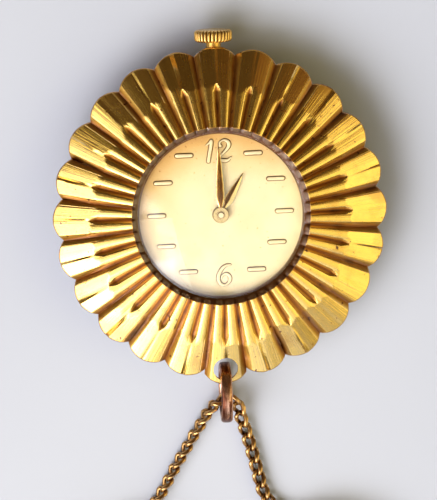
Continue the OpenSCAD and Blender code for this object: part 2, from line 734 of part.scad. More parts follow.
module centre_wheel() color("khaki") {
    spoked(centre_teeth, centre_mod, centre_wheel_z, wheel_t, 5, 0.7, 30);
    gear(centre_leaves, train_mod, centre_wheel_z + wheel_t, 1, barrel_a - 180);
    disc(pivot_r * 2, bridge_z, bridge_in_z - bridge_z + 0.05);
    disc(arbor_r, bridge_in_z + 0.02, arbor_top_z - bridge_in_z - 0.02);
}

module third_wheel() color("khaki") at(third_at)
    wheel_and_pinion(third_teeth, third_mod, third_wheel_z, third_leaves, centre_mod,
                     bridge_in_z + 0.05, 0.32, -35 + 180 / third_teeth);

module fourth_wheel() color("khaki") at(fourth_at)
    wheel_and_pinion(fourth_teeth, fourth_mod, fourth_wheel_z, fourth_leaves, third_mod,
                     third_wheel_z - 0.1, 0.35, -100);

// Outline of the escape wheel: narrow teeth that lean the way it turns
function escape_points() = [
    for (i = [0 : escape_teeth - 1], k = [[-11, 0.45], [-3, 0], [3, 0], [1, 0.45]])
        polar(escape_r - k[1], i * 360 / escape_teeth + k[0])
];

module escape_wheel() color("silver") at(escape_at) {
    difference() {
        translate([0, 0, escape_z]) linear_extrude(wheel_t) polygon(escape_points());
        difference() {
            disc(escape_r - 0.75, escape_z - e, 1);
            disc(0.4, escape_z - 2 * e, 2);
            for (a = [0, 90]) rotate([0, 0, a]) translate([-escape_r, -0.1, escape_z - 2 * e])
                cube([2 * escape_r, 0.2, 2]);
        }
    }
    gear(escape_leaves, fourth_mod, escape_z - 0.6, 0.35);
    disc(0.15, bridge_in_z + 0.02, plate_z - bridge_in_z - 0.04);
    disc(pivot_r, bridge_in_z - jewel_t, plate_z + jewel_t - bridge_in_z + jewel_t);
}

// Lever with two stones that point at the escape wheel and a notch at the roller
module pallet_fork() color("silver") at(pallet_at) {
    translate([0, 0, escape_z]) {
        cylinder(r = 0.3, h = wheel_t);
        rotate([0, 0, pallet_to_balance]) difference() {
            translate([0, -0.14, 0]) cube([pallet_reach - 0.25, 0.28, wheel_t]);
            translate([pallet_reach - 0.6, -0.09, -e]) cube([1, 0.18, 1]);
        }
        for (s = [-1, 1]) rotate([0, 0, escape_to_pallet + 180 + s * 62])
            translate([0, -0.12, 0]) cube([1.05, 0.24, wheel_t]);
    }
    disc(pivot_r, pallet_bridge_z, plate_z + jewel_t - pallet_bridge_z);
}

module balance_wheel() color("gold") at(balance_at) {
    ring(balance_r, balance_r - 0.35, balance_z, balance_t);
    difference() {
        translate([-balance_r + 0.1, -0.2, balance_z + 0.05])
            cube([2 * balance_r - 0.2, 0.4, 0.18]);
        disc(0.15, balance_z - e, 1);
    }
    ring(0.42, 0.15, balance_z + 0.05, 0.18);
}

module balance_staff() color("silver") at(balance_at) {
    disc(0.15, bridge_in_z + 0.02, plate_z - bridge_in_z - 0.04);
    disc(pivot_r, bridge_in_z - jewel_t, plate_z + jewel_t - bridge_in_z + jewel_t);
    ring(0.32, 0.15, 2.4, 0.12);
    ring(0.5, 0.15, roller_z, 0.07);
    rotate([0, 0, pallet_to_balance + 180]) translate([0.4, 0, roller_z])
        cylinder(r = 0.07, h = 0.25);
}

module hairspring() color("steelblue") at(balance_at, 2.4) linear_extrude(0.12)
    polygon(spiral_points(0.45, 1.4, 5, 0.03));

module hairspring_stud() color("silver") at(balance_at + [1.5, 0]) disc(0.1, bridge_in_z, 0.25);

// ---------------------------------------------------------------- keyless work

module crown() color("goldenrod") translate([0, crown_y, stem_z]) along_y() difference() {
    intersection() {
        linear_extrude(crown_l) polygon(gear_points(36, crown_r / 18.9));
        rotate_extrude() polygon([
            [0, 0], [crown_r - 0.2, 0], [crown_r + 0.1, 0.22], [crown_r + 0.1, crown_l - 0.3],
            [crown_r - 0.35, crown_l - 0.1], [crown_r - 1, crown_l], [0, crown_l]
        ]);
    }
    translate([0, 0, -e]) cylinder(r = tube_r + free_gap, h = tube_end_y - crown_y + 0.2);
    translate([0, 0, -e]) cylinder(r = stem_r, h = crown_l - 0.3);
}

// Stem: plain in the tube, grooved for the setting lever, with a pilot at its inner end
module stem() color("silver") translate([0, 0, stem_z]) along_y() difference() {
    union() {
        translate([0, 0, clutch_y - 0.3])
            cylinder(r = stem_r, h = crown_y + crown_l - 0.3 - clutch_y + 0.3);
        translate([0, 0, stem_tip_y]) cylinder(r = stem_tip_r, h = clutch_y - stem_tip_y);
    }
    translate([0, 0, lever_groove_y - lever_groove_w / 2])
        ring(stem_r + 1, lever_groove_r, 0, lever_groove_w);
}

// Saw teeth on the end of a turned part
module end_teeth(r, y, h, turn) for (i = [0 : 11]) rotate([0, 0, i * 30 + turn])
    translate([stem_r + 0.15, -0.09, y]) cube([r - stem_r - 0.2, 0.18, h]);

module winding_pinion() color("silver") translate([0, 0, stem_z]) along_y() {
    difference() {
        gear(winding_leaves, winding_mod, winding_y + 0.1, winding_l - 0.1, 90);
        translate([0, 0, winding_y]) cylinder(r = stem_r + run_gap, h = 2);
    }
    end_teeth(clutch_r, winding_y - 0.08, 0.2, 15);
}

module clutch_wheel() color("silver") translate([0, 0, stem_z]) along_y() {
    difference() {
        translate([0, 0, clutch_y]) cylinder(r = clutch_r, h = clutch_l);
        translate([0, 0, clutch_y - e]) cylinder(r = stem_r + run_gap, h = 2);
        translate([0, 0, clutch_groove_y - clutch_groove_w / 2])
            ring(clutch_r + 1, clutch_groove_r, 0, clutch_groove_w);
    }
    end_teeth(clutch_r, clutch_y + clutch_l - 0.02, 0.1, 0);
    end_teeth(clutch_r, clutch_y - 0.1, 0.12, 0);
}

module setting_lever() color("silver") difference() {
    union() {
        bar(setting_lever_at, [0, lever_groove_y], 0.6, lever_z, lever_t);
        at(setting_lever_at, lever_z) cylinder(r = 0.5, h = lever_t);
        at([0, lever_groove_y], stem_z + lever_groove_r + 0.05)
            cylinder(r = 0.13, h = lever_z + lever_t - stem_z - lever_groove_r - 0.05);
    }
    at(setting_lever_at, lever_z - e) cylinder(r = post_r + run_gap, h = 1);
}

module yoke() color("silver") difference() {
    union() {
        bar(yoke_at, [0, clutch_groove_y], 0.5, lever_z, lever_t);
        at(yoke_at, lever_z) cylinder(r = 0.5, h = lever_t);
        at([0, clutch_groove_y], stem_z + clutch_groove_r + 0.05)
            cylinder(r = 0.13, h = lever_z + lever_t - stem_z - clutch_groove_r - 0.05);
    }
    at(yoke_at, lever_z - e) cylinder(r = post_r + run_gap, h = 1);
}

// Cover spring over both levers, with the posts they turn on
module setting_jumper() color("silver") {
    for (p = [setting_lever_at, yoke_at]) at(p) {
        disc(post_r, plate_top_z, jumper_z - plate_top_z);
        disc(0.5, jumper_z, 0.15);
    }
    bar(setting_lever_at, yoke_at, 0.6, jumper_z, 0.15);
}

// ---------------------------------------------------------------- ring, chain and clasp

module jump_ring() color("sienna") translate(jump_centre) rotate([0, 90, 0]) rotate_extrude()
    polygon([
        [jump_r - jump_t, -jump_w / 2 + 0.2], [jump_r - jump_t + 0.2, -jump_w / 2],
        [jump_r - 0.2, -jump_w / 2], [jump_r, -jump_w / 2 + 0.2],
        [jump_r, jump_w / 2 - 0.2], [jump_r - 0.2, jump_w / 2],
        [jump_r - jump_t + 0.2, jump_w / 2], [jump_r - jump_t, jump_w / 2 - 0.2]
    ]);

// A round tube swept along a route: one ring of points square to the route at each of its points
tube_sides = 8;
function unit(v) = v / norm(v);
function heading(route, i) = unit(route[min(i + 1, len(route) - 1)] - route[max(i - 1, 0)]);
function tube_ring(p, dir, r) = let (side = unit(cross(dir, [0, 0, 1])), up = cross(side, dir))
    [for (k = [0 : tube_sides - 1]) p + r * (cos(k * 45) * side + sin(k * 45) * up)];

module tube(route, r) {
    last = (len(route) - 1) * tube_sides;
    polyhedron(
        points = [
            for (i = [0 : len(route) - 1])
                each tube_ring(route[i], i == 0 ? [sign(route[1][0]), 0, 0] : heading(route, i), r)
        ],
        faces = concat(
            [[for (k = [0 : tube_sides - 1]) k]],
            [[for (k = [tube_sides - 1 : -1 : 0]) last + k]],
            [
                for (i = [0 : len(route) - 2], k = [0 : tube_sides - 1]) [
                    i * tube_sides + k, (i + 1) * tube_sides + k,
                    (i + 1) * tube_sides + (k + 1) % tube_sides,
                    i * tube_sides + (k + 1) % tube_sides
                ]
            ]
        )
    );
}

module chain_left_run() color("peru") tube(left_route, chain_d / 2);

module chain_right_run() color("peru") tube(right_route, chain_d / 2);

// A flat coil of chain, with a short tail to the ring at the chain's end
module chain_coil(side, tail_x) color("peru") {
    centre = [side * coil_at[0], coil_at[1]];
    tail = [tail_x, clasp_at[1]] - centre;
    at(centre) ring(coil_outer_r + chain_d / 2, coil_inner_r - chain_d / 2, 0, coil_h);
    bar(centre + tail * coil_outer_r / norm(tail), [tail_x, clasp_at[1]], 1, chain_z - 0.5, 1);
}

module chain_left_coil()
    chain_coil(-1, clasp_at[0] - clasp_eye_x - link_reach - link_r - link_wire_r - 0.5);

module chain_right_coil() chain_coil(1, clasp_at[0] + clasp_r + 0.3 + link_r + link_wire_r + 0.5);

// Spring ring: a bent tube with a gap that a sliding bolt closes, a slot for its knob, and an eye
module clasp_body() color("gold") at(clasp_at, clasp_tube_r) difference() {
    union() {
        rotate([0, 0, clasp_gap_a / 2]) rotate_extrude(angle = 360 - clasp_gap_a)
            translate([clasp_r, 0]) circle(r = clasp_tube_r);
        translate([-clasp_eye_x, 0, -0.2]) cylinder(r = clasp_eye_r * 2, h = 0.4);
    }
    rotate([0, 0, clasp_gap_a / 2 - 1]) rotate_extrude(angle = 130)
        translate([clasp_r, 0]) circle(r = clasp_bore_r);
    rotate([0, 0, -clasp_gap_a / 2 - 12]) rotate_extrude(angle = 13)
        translate([clasp_r, 0]) circle(r = clasp_bore_r);
    rotate([0, 0, clasp_gap_a / 2 + 1]) rotate_extrude(angle = clasp_gap_a + 22)
        translate([clasp_r, -clasp_knob_r - run_gap]) square([1.5, 2 * (clasp_knob_r + run_gap)]);
    translate([-clasp_eye_x, 0, -1]) cylinder(r = clasp_eye_r, h = 2);
}

module clasp_bolt() color("gold") at(clasp_at, clasp_tube_r) {
    rotate([0, 0, -clasp_gap_a / 2 - 8]) rotate_extrude(angle = clasp_gap_a + 50)
        translate([clasp_r, 0]) circle(r = clasp_bore_r - 0.05);
    rotate([0, 0, clasp_gap_a / 2 + 8]) translate([clasp_r, 0, 0]) rotate([0, 90, 0])
        cylinder(r = clasp_knob_r, h = clasp_tube_r + 0.5);
}

// A small closed wire ring that stands on edge beside the clasp
module wire_ring(x) translate([clasp_at[0] + x, clasp_at[1], link_r + link_wire_r]) rotate([90, 0, 0])
    rotate_extrude() translate([link_r, 0]) circle(r = link_wire_r);

module clasp_link() color("gold") wire_ring(-clasp_eye_x - link_reach);

module chain_end_ring() color("gold") wire_ring(clasp_r + 0.3);

flower_bezel();
case_middle();
case_back();
crystal();
movement_ring();
case_tube();
dial();
hour_markers();
numeral_twelve();
numeral_six();
hour_hand();
minute_hand();
crown();
stem();
main_plate();
barrel_bridge();
train_bridge();
balance_cock();
pallet_bridge();
plate_jewels();
bridge_jewels();
bridge_screws();
mainspring_barrel();
barrel_cover();
mainspring();
barrel_arbor();
ratchet_wheel();
ratchet_screw();
crown_wheel();
crown_wheel_screw();
click();
click_spring();
centre_wheel();
third_wheel();
fourth_wheel();
escape_wheel();
pallet_fork();
balance_wheel();
balance_staff();
hairspring();
hairspring_stud();
cannon_pinion();
minute_wheel();
hour_wheel();
winding_pinion();
clutch_wheel();
setting_wheel();
setting_lever();
yoke();
setting_jumper();
jump_ring();
chain_left_run();
chain_right_run();
chain_left_coil();
chain_right_coil();
clasp_body();
clasp_bolt();
clasp_link();
chain_end_ring();
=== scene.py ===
"""Fob watch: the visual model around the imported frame, in the order in which the watch is put together."""
import math

import bmesh
import bpy
import numpy as np
from mathutils import Matrix, Vector


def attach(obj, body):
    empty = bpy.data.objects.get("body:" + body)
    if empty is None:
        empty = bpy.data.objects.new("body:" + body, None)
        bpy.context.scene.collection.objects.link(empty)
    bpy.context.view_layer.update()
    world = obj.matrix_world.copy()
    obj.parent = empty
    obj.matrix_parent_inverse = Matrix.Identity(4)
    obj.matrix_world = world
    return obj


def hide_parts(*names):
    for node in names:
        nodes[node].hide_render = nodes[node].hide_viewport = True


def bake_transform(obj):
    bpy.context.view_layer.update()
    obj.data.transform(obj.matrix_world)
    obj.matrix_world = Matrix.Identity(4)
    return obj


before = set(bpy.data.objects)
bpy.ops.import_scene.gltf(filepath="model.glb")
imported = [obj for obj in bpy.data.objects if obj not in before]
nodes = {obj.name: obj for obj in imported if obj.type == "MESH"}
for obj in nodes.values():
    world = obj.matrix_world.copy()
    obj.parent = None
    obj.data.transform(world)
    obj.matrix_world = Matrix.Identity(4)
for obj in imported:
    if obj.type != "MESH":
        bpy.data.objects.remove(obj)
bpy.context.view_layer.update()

MM = 0.001

# ------------------------------------------------------------------ camera, light and floor
# The watch lies on a pale table. The camera looks down from a little above 12 o'clock and to the
# left, and is rolled by two degrees. The view is cut off below the ring, across the chain's runs.

view_centre = Vector((-0.37, -4.1, 5.8)) * MM
view_from = Vector((-0.053, 0.144, 1.0)).normalized()
view_up = Vector((math.sin(math.radians(2)), math.cos(math.radians(2)), 0))
view_distance = 450 * MM
view_height = 56.7 * MM
floor_size = 3.0


def facing(direction, up):
    """Turn that points an object's +Z along direction, with +Y as near up as it can be."""
    side = up.cross(direction).normalized()
    return Matrix((side, direction.cross(side), direction)).transposed().to_euler()


camera = bpy.data.objects.new("camera", bpy.data.cameras.new("camera"))
camera.data.sensor_fit = "VERTICAL"
camera.data.sensor_height = 36
camera.data.lens = 36 * view_distance / view_height
camera.data.clip_end = 10
camera.location = view_centre + view_from * view_distance
camera.rotation_euler = facing(view_from, view_up)
bpy.context.scene.collection.objects.link(camera)
bpy.context.scene.camera = camera
bpy.context.scene.view_settings.view_transform = "Standard"


def linear(hex_colour):
    """A colour in sRGB hex as linear RGBA. A channel is c / 12.92 where dark, and above that
    ((c + 0.055) / 1.055) ^ 2.4."""
    c = np.array([int(hex_colour[i:i + 2], 16) for i in (1, 3, 5)]) / 255
    c = np.where(c <= 0.04045, c / 12.92, ((c + 0.055) / 1.055) ** 2.4)
    return (*c.tolist(), 1.0)


def soft_light(name, direction, distance, size, power, hex_colour):
    """A square area light at that distance from the watch, facing it. The room's glows are what shows
    in the metal, so that no hard edge of a lamp does."""
    lamp = bpy.data.objects.new(name, bpy.data.lights.new(name, "AREA"))
    lamp.data.size = size
    lamp.data.energy = power
    lamp.data.color = linear(hex_colour)[:3]
    away = Vector(direction).normalized()
    lamp.location = away * distance
    lamp.rotation_euler = facing(away, Vector((0, 1, 0)))
    lamp.visible_glossy = False
    bpy.context.scene.collection.objects.link(lamp)


soft_light("window", (-0.52, -0.48, 0.70), 0.3, 0.23, 0.62, "#fffaf4")


def add_node(tree, kind, inputs=(), **settings):
    """A shader node with its settings and inputs: a socket is linked, any other value is set."""
    node = tree.nodes.new(kind)
    for key, value in settings.items():
        setattr(node, key, value)
    for key, value in dict(inputs).items():
        if isinstance(value, bpy.types.NodeSocket):
            tree.links.new(value, node.inputs[key])
        else:
            node.inputs[key].default_value = value
    return node


def new_material(name):
    """An empty node material, and its node tree."""
    material = bpy.data.materials.new(name)
    material.use_nodes = True
    material.node_tree.nodes.clear()
    return material, material.node_tree


def surface(tree, **inputs):
    """The Principled shader of a material, wired to its output."""
    named = {key.replace("_", " "): value for key, value in inputs.items()}
    shader = add_node(tree, "ShaderNodeBsdfPrincipled", named)
    add_node(tree, "ShaderNodeOutputMaterial", {"Surface": shader.outputs["BSDF"]})


def colour_ramp(tree, factor, stops):
    """A colour ramp over a factor, from (place, hex colour) stops."""
    ramp = add_node(tree, "ShaderNodeValToRGB", {"Fac": factor})
    points = ramp.color_ramp.elements
    while len(points) < len(stops):
        points.new(0.5)
    for point, (place, hex_colour) in zip(points, stops):
        point.position = place
        point.color = linear(hex_colour)
    return ramp.outputs["Color"]


# Matt paper-covered table: a cool pale grey with no visible grain.
table_paper, tree = new_material("table_paper")
place = add_node(tree, "ShaderNodeTexCoord").outputs["Object"]
cloud = add_node(tree, "ShaderNodeTexNoise", {"Vector": place, "Scale": 14.0, "Detail": 2.0})
paper = colour_ramp(tree, cloud.outputs["Fac"], [(0.35, "#b4b7c0"), (0.65, "#b9bcc4")])
surface(tree, Base_Color=paper, Roughness=0.9)

half = floor_size / 2
floor = bpy.data.objects.new("floor", bpy.data.meshes.new("floor"))
floor.data.from_pydata(
    [(-half, -half, 0), (half, -half, 0), (half, half, 0), (-half, half, 0)], [], [(0, 1, 2, 3)])
floor.data.materials.append(table_paper)
bpy.context.scene.collection.objects.link(floor)

world = bpy.data.worlds.new("room")
world.use_nodes = True
room = world.node_tree
room.nodes.clear()
looking = add_node(room, "ShaderNodeTexCoord").outputs["Generated"]


def glow(total, direction, inner, outer, hex_colour, radiance):
    """A soft-edged bright patch of the room: full within inner degrees of a direction, none past outer."""
    centre = Vector(direction).normalized()
    near = add_node(room, "ShaderNodeVectorMath", {0: looking, 1: centre}, operation="DOT_PRODUCT")
    shape = add_node(room, "ShaderNodeMapRange", {
        "Value": near.outputs["Value"], "From Min": math.cos(math.radians(outer)),
        "From Max": math.cos(math.radians(inner))}, interpolation_type="SMOOTHSTEP")
    colour = Vector(linear(hex_colour)[:3]) * radiance
    patch = add_node(room, "ShaderNodeVectorMath", {0: colour, "Scale": shape.outputs[0]}, operation="SCALE")
    return add_node(room, "ShaderNodeVectorMath", {0: total, 1: patch.outputs[0]}).outputs[0]


light = add_node(room, "ShaderNodeCombineXYZ", {"X": 0.10, "Y": 0.062, "Z": 0.03}).outputs[0]
light = glow(light, (-0.64, -0.34, 0.69), 14, 32, "#f4f6ff", 6.0)
light = glow(light, (-0.45, -0.55, 0.70), 6, 26, "#eef2ff", 2.2)
light = glow(light, (0.02, -0.78, 0.62), 10, 34, "#e2eaff", 1.7)
light = glow(light, (0.74, -0.18, 0.65), 14, 38, "#f8efb4", 1.7)
light = glow(light, (0.05, -0.22, 0.97), 6, 24, "#fff4e2", 0.6)
light = glow(light, (0.52, 0.42, 0.74), 4, 26, "#e08a3c", 0.14)
things = add_node(room, "ShaderNodeTexNoise", {"Vector": looking, "Scale": 5.0, "Detail": 2.0})
clutter = add_node(room, "ShaderNodeMapRange", {
    "Value": things.outputs["Fac"], "From Min": 0.36, "From Max": 0.6, "To Min": 0.3, "To Max": 1.3})
uneven = add_node(room, "ShaderNodeVectorMath", {0: light, "Scale": clutter.outputs[0]}, operation="SCALE")
backdrop = add_node(room, "ShaderNodeBackground", {"Color": uneven.outputs[0]})
add_node(room, "ShaderNodeOutputWorld", {"Surface": backdrop.outputs[0]})
bpy.context.scene.world = world

# ------------------------------------------------------------------ chain
# Curb chain of antique-gold wire: every link is twisted so that the next lies flat in it. It passes
# through the ring, and its two halves run down the table to two flat coils with the clasp between.

link_pitch = 1.5 * MM
link_long = 2.44 * MM
link_wide = 1.64 * MM
link_wire = 0.58 * MM
link_twist = 0.3 * MM
chain_width = 1.5 * MM
chain_height = chain_width / 2
coil_rise = 1.44 * MM
coil_radii = np.array([9.8, 8.2, 6.6]) * MM
coil_centre = np.array([10.75, -46]) * MM
points_per_turn = 48
clasp_at = np.array([0.4, -56]) * MM
left_route = np.array([
    [0, -21.9, 2.45], [-0.6, -22.1, 2.35], [-1.2, -22.5, 2.1], [-1.7, -23.1, 1.7],
    [-2.2, -23.8, 1.3], [-2.7, -24.6, 1], [-3.2, -25.5, 0.8], [-3.8, -26.4, 0.75],
    [-4.4, -27.4, 0.75], [-5.1, -28.5, 0.75], [-5.8, -29.6, 0.75],
    [-6.5, -30.8, 0.75], [-7.2, -32, 0.75], [-8, -33.3, 0.75],
    [-9.1, -34.6, 0.75], [-10.8, -35.8, 0.75], [-13, -36.5, 0.75]]) * MM
right_route = np.array([
    [0, -21.9, 2.45], [0.6, -22.1, 2.35], [1.2, -22.5, 2.1], [1.6, -23.3, 1.7],
    [1.8, -24.4, 1.3], [2.1, -25.4, 1], [2.4, -26.4, 0.8], [2.7, -27.5, 0.75],
    [3, -28.7, 0.75], [3.3, -30, 0.75], [3.6, -31.3, 0.75], [3.9, -32.6, 0.75],
    [4.4, -33.9, 0.75], [5.4, -35.1, 0.75], [7, -35.9, 0.75], [9, -36.2, 0.75]]) * MM


def smooth_curve(points, steps=8):
    """Catmull-Rom curve through points: each span is the cubic whose slope at a point is half the step
    between its two neighbours."""
    p = np.vstack([2 * points[0] - points[1], points, 2 * points[-1] - points[-2]])
    t = np.linspace(0, 1, steps, endpoint=False)[:, None, None]
    a, b, c, d = p[:-3], p[1:-2], p[2:-1], p[3:]
    spans = 0.5 * (2 * b + (c - a) * t + (2 * a - 5 * b + 4 * c - d) * t ** 2
                   + (3 * b - 3 * c + d - a) * t ** 3)
    return np.vstack([spans.transpose(1, 0, 2).reshape(-1, 3), points[-1]])


def coil_turns(side, start, last_turn):
    """Turns of a flat coil in two layers, counted from where the run meets it. The radius steps in by a
    pitch near the end of each turn of the first layer, and out again in the second, which lies on it."""
    turn = np.linspace(0, last_turn, int(last_turn * points_per_turn))
    into = np.clip((turn % 1 - 0.86) / 0.14, 0, 1)
    step = np.floor(turn) + into * into * (3 - 2 * into)
    ring = np.clip(np.where(step <= 2, step, np.maximum(2, step - 1)), 0, 4)
    radius = np.interp(ring, [0, 1, 2, 3, 4], coil_radii[[0, 1, 2, 1, 0]])
    rise = np.clip((turn - 2.62) / 0.3, 0, 1)
    height = chain_height + coil_rise * rise * rise * (3 - 2 * rise)
    angle = start - side * turn * 2 * math.pi
    x = side * coil_centre[0] + radius * np.cos(angle)
    return np.stack([x, coil_centre[1] + radius * np.sin(angle), height], axis=1)


def chain_path(side, route, hook):
    """Line of half the chain: the run from the ring, the coil, and a short end down to its ring."""
    run = smooth_curve(route)
    centre = np.array([side * coil_centre[0], coil_centre[1]])
    meet = route[-1, :2] - centre
    coil = coil_turns(side, math.atan2(meet[1], meet[0]), 5.43)[3:]
    leave = coil[-1] + np.array([-side * 2.6, -0.25, -0.1]) * MM
    end = smooth_curve(np.array([coil[-1], leave, hook + np.array([side * 1.6, 0, 0.55]) * MM, hook]))
    return even_spacing(np.vstack([run, coil, end[1:]]), link_pitch / 4)


def even_spacing(points, gap):
    """The same line with its points an even distance apart."""
    along = np.concatenate([[0], np.cumsum(np.linalg.norm(np.diff(points, axis=0), axis=1))])
    wanted = np.linspace(0, along[-1], int(along[-1] / gap) + 1)
    return np.stack([np.interp(wanted, along, points[:, i]) for i in range(3)], axis=1)


def link_points(around=12, sides=5):
    """One curb link: an oval of wire whose height swings twice round it, z = twist * sin(2 a)."""
    a = np.linspace(0, 2 * math.pi, around, endpoint=False)[:, None]
    b = np.linspace(0, 2 * math.pi, sides, endpoint=False)[None, :]
    long, wide = (link_long - link_wire) / 2, (link_wide - link_wire) / 2
    out = link_wire / 2 * np.cos(b)
    x = (long + out) * np.cos(a)
    y = (wide + out) * np.sin(a)
    z = link_twist * np.sin(2 * a) + link_wire / 2 * np.sin(b)
    return np.stack([x, y, z], axis=-1).reshape(-1, 3)


def grid_faces(rows, columns, wrap_rows=True, wrap_columns=True):
    """Quads of a grid of rows by columns of vertices, which may close on itself either way."""
    i = np.arange(rows if wrap_rows else rows - 1)[:, None]
    j = np.arange(columns if wrap_columns else columns - 1)[None, :]
    i, j = np.broadcast_arrays(i, j)
    down, right = (i + 1) % rows, (j + 1) % columns
    quads = [i * columns + j, down * columns + j, down * columns + right, i * columns + right]
    return np.stack(quads, axis=-1).reshape(-1, 4)


def new_piece(name, points, faces, material, smooth_below=40.0):
    """A mesh object in metres, shaded smooth except over edges sharper than an angle in degrees."""
    mesh = bpy.data.meshes.new(name)
    mesh.from_pydata(points.tolist(), [], [list(f) for f in faces.tolist()])
    mesh.validate()
    mesh.shade_smooth()
    mesh.set_sharp_from_angle(angle=math.radians(smooth_below))
    mesh.materials.append(material)
    piece = bpy.data.objects.new(name, mesh)
    bpy.context.scene.collection.objects.link(piece)
    return piece


def outward_faces(mesh, fill_ends=False):
    """Turn all of a mesh's faces outwards, after closing its open ends if asked to."""
    solid = bmesh.new()
    solid.from_mesh(mesh)
    if fill_ends:
        bmesh.ops.holes_fill(solid, edges=[e for e in solid.edges if e.is_boundary], sides=0)
    bmesh.ops.recalc_face_normals(solid, faces=solid.faces)
    solid.to_mesh(mesh)
    solid.free()


def store_points(mesh, name, values):
    """Keep one number for each vertex under a name, for a material to read."""
    mesh.attributes.new(name, "FLOAT", "POINT").data.foreach_set("value", values.astype(np.float32))


def lay_map(mesh, name, places):
    """Give every corner of a mesh its vertex's place on a flat map."""
    corner = np.empty(len(mesh.loops), dtype=np.int32)
    mesh.loops.foreach_get("vertex_index", corner)
    flat = places[corner].astype(np.float32).ravel()
    mesh.uv_layers.new(name=name).data.foreach_set("uv", flat)


def curb_chain(name, path, roll, material):
    """Links along a path, one each pitch. Each is turned about the path by roll, in radians."""
    every = path[2::4]
    ahead = np.gradient(path, axis=0)[2::4]
    ahead /= np.linalg.norm(ahead, axis=1, keepdims=True)
    side = np.cross([0, 0, 1.0], ahead)
    side /= np.linalg.norm(side, axis=1, keepdims=True)
    up = np.cross(ahead, side)
    turn = roll(np.linspace(0, 1, len(every)))[:, None]
    across = side * np.cos(turn) + up * np.sin(turn)
    lift = up * np.cos(turn) - side * np.sin(turn)
    link = link_points()
    points = (every[:, None] + link[None, :, 0:1] * ahead[:, None] + link[None, :, 1:2] * across[:, None]
              + link[None, :, 2:3] * lift[:, None])
    faces = grid_faces(12, 5)[None] + (np.arange(len(every)) * len(link))[:, None, None]
    return new_piece(name, points.reshape(-1, 3), faces.reshape(-1, 4)[:, ::-1], material, 75)


# Gold-plated brass wire: brown in the hollows between the links as tarnish and painted shade, taken from
# an ambient-occlusion mask, and rubbed bright outside.
chain_wire, tree = new_material("antique_gold_wire")
place = add_node(tree, "ShaderNodeTexCoord").outputs["Object"]
# Ambient occlusion darkens where the links crowd each other: painted shade, with tarnish there too.
hollow_shade = add_node(tree, "ShaderNodeAmbientOcclusion", {"Distance": 0.9 * MM}, samples=6)
patch = add_node(tree, "ShaderNodeTexNoise", {"Vector": place, "Scale": 900.0, "Detail": 3.0})
mixed = add_node(tree, "ShaderNodeMath", {0: hollow_shade.outputs["AO"], 1: 0.62}, operation="SUBTRACT")
wear_and_painted_light = add_node(tree, "ShaderNodeMath", {0: mixed.outputs[0], 1: patch.outputs["Fac"]}, operation="ADD")
tint = colour_ramp(tree, wear_and_painted_light.outputs[0], [(0.2, "#4a2d18"), (0.5, "#8d6236"), (0.8, "#d3a566")])
surface(tree, Base_Color=tint, Metallic=1.0, Roughness=0.28)

hook_left = np.array([clasp_at[0] - 6.0 * MM, clasp_at[1], 1.4 * MM])
hook_right = np.array([clasp_at[0] + 3.85 * MM, clasp_at[1], 1.4 * MM])
left_path = chain_path(-1, left_route, hook_left)
right_path = chain_path(1, right_route, hook_right)
chain_left = curb_chain("chain_left", left_path, lambda t: 1.15 + 0 * t, chain_wire)
chain_right = curb_chain("chain_right", right_path,
                         lambda t: 0.3 + 0.5 * np.clip(t * 12 - 1, 0, 1), chain_wire)
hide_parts("chain_left_run", "chain_left_coil")
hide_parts("chain_right_run", "chain_right_coil")
for piece in (chain_left, chain_right):
    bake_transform(piece)

# ------------------------------------------------------------------ flower bezel
# Pressed brass flower of 24 petals, gold plated. The smooth pads at the petals' ends are cut bright,
# each half at its own slight tilt, and flat-topped flutes run from them up to the crystal.

petals = 24
petal_angle = 360 / petals
tip_radius = 19.0
notch_radius = 18.0
ring_petal_extra = 0.7
crown_flat_at = 18.85
inner_radius = 10.15
inner_height = 7.9
pad_start = 14.6
flute_slope = 0.225
pad_slope = 0.43
sheet_thickness = 0.6
pad_half = 5.55
pad_round = 0.02
flute_middle = 3.65
flute_half = 1.9
flute_crown = 0.07
burr_height = 0.05
groove_depth = 0.40
middle_groove_half = 1.75
middle_groove_tip = 15.0
hole_radius = 1.4
hole_at = 17.9
lip_radius = 9.2
seat_radius = 9.45
seat_height = 6.5
skirt_radius = 10.6
skirt_bottom = 5.85
random = np.random.default_rng(24)
petal_tilt = random.normal(0, 0.048, (2, petals))
petal_slope = random.normal(0, 0.05, (2, petals))
petal_shift = random.normal(0, 0.03, petals)


def petal_outline(angle, petal):
    """Radius of the flower's edge at an angle from a petal's middle, in degrees: an arc through the tip
    and both notches, moved out on the petal with the ring and cut straight on the one with the crown."""
    a = np.radians(angle)
    half_width = notch_radius * math.sin(math.radians(petal_angle / 2))
    rise = tip_radius - notch_radius * math.cos(math.radians(petal_angle / 2))
    arc = (half_width ** 2 + rise ** 2) / (2 * rise)
    middle = tip_radius - arc
    far = middle + ring_petal_extra
    edge = middle * np.cos(a) + np.sqrt(arc ** 2 - (middle * np.sin(a)) ** 2)
    long_edge = far * np.cos(a) + np.sqrt(np.maximum(arc ** 2 - (far * np.sin(a)) ** 2, 0))
    edge = np.where(petal == petals // 2, long_edge, edge)
    return np.where(petal == 0, np.minimum(edge, crown_flat_at / np.cos(a)), edge)


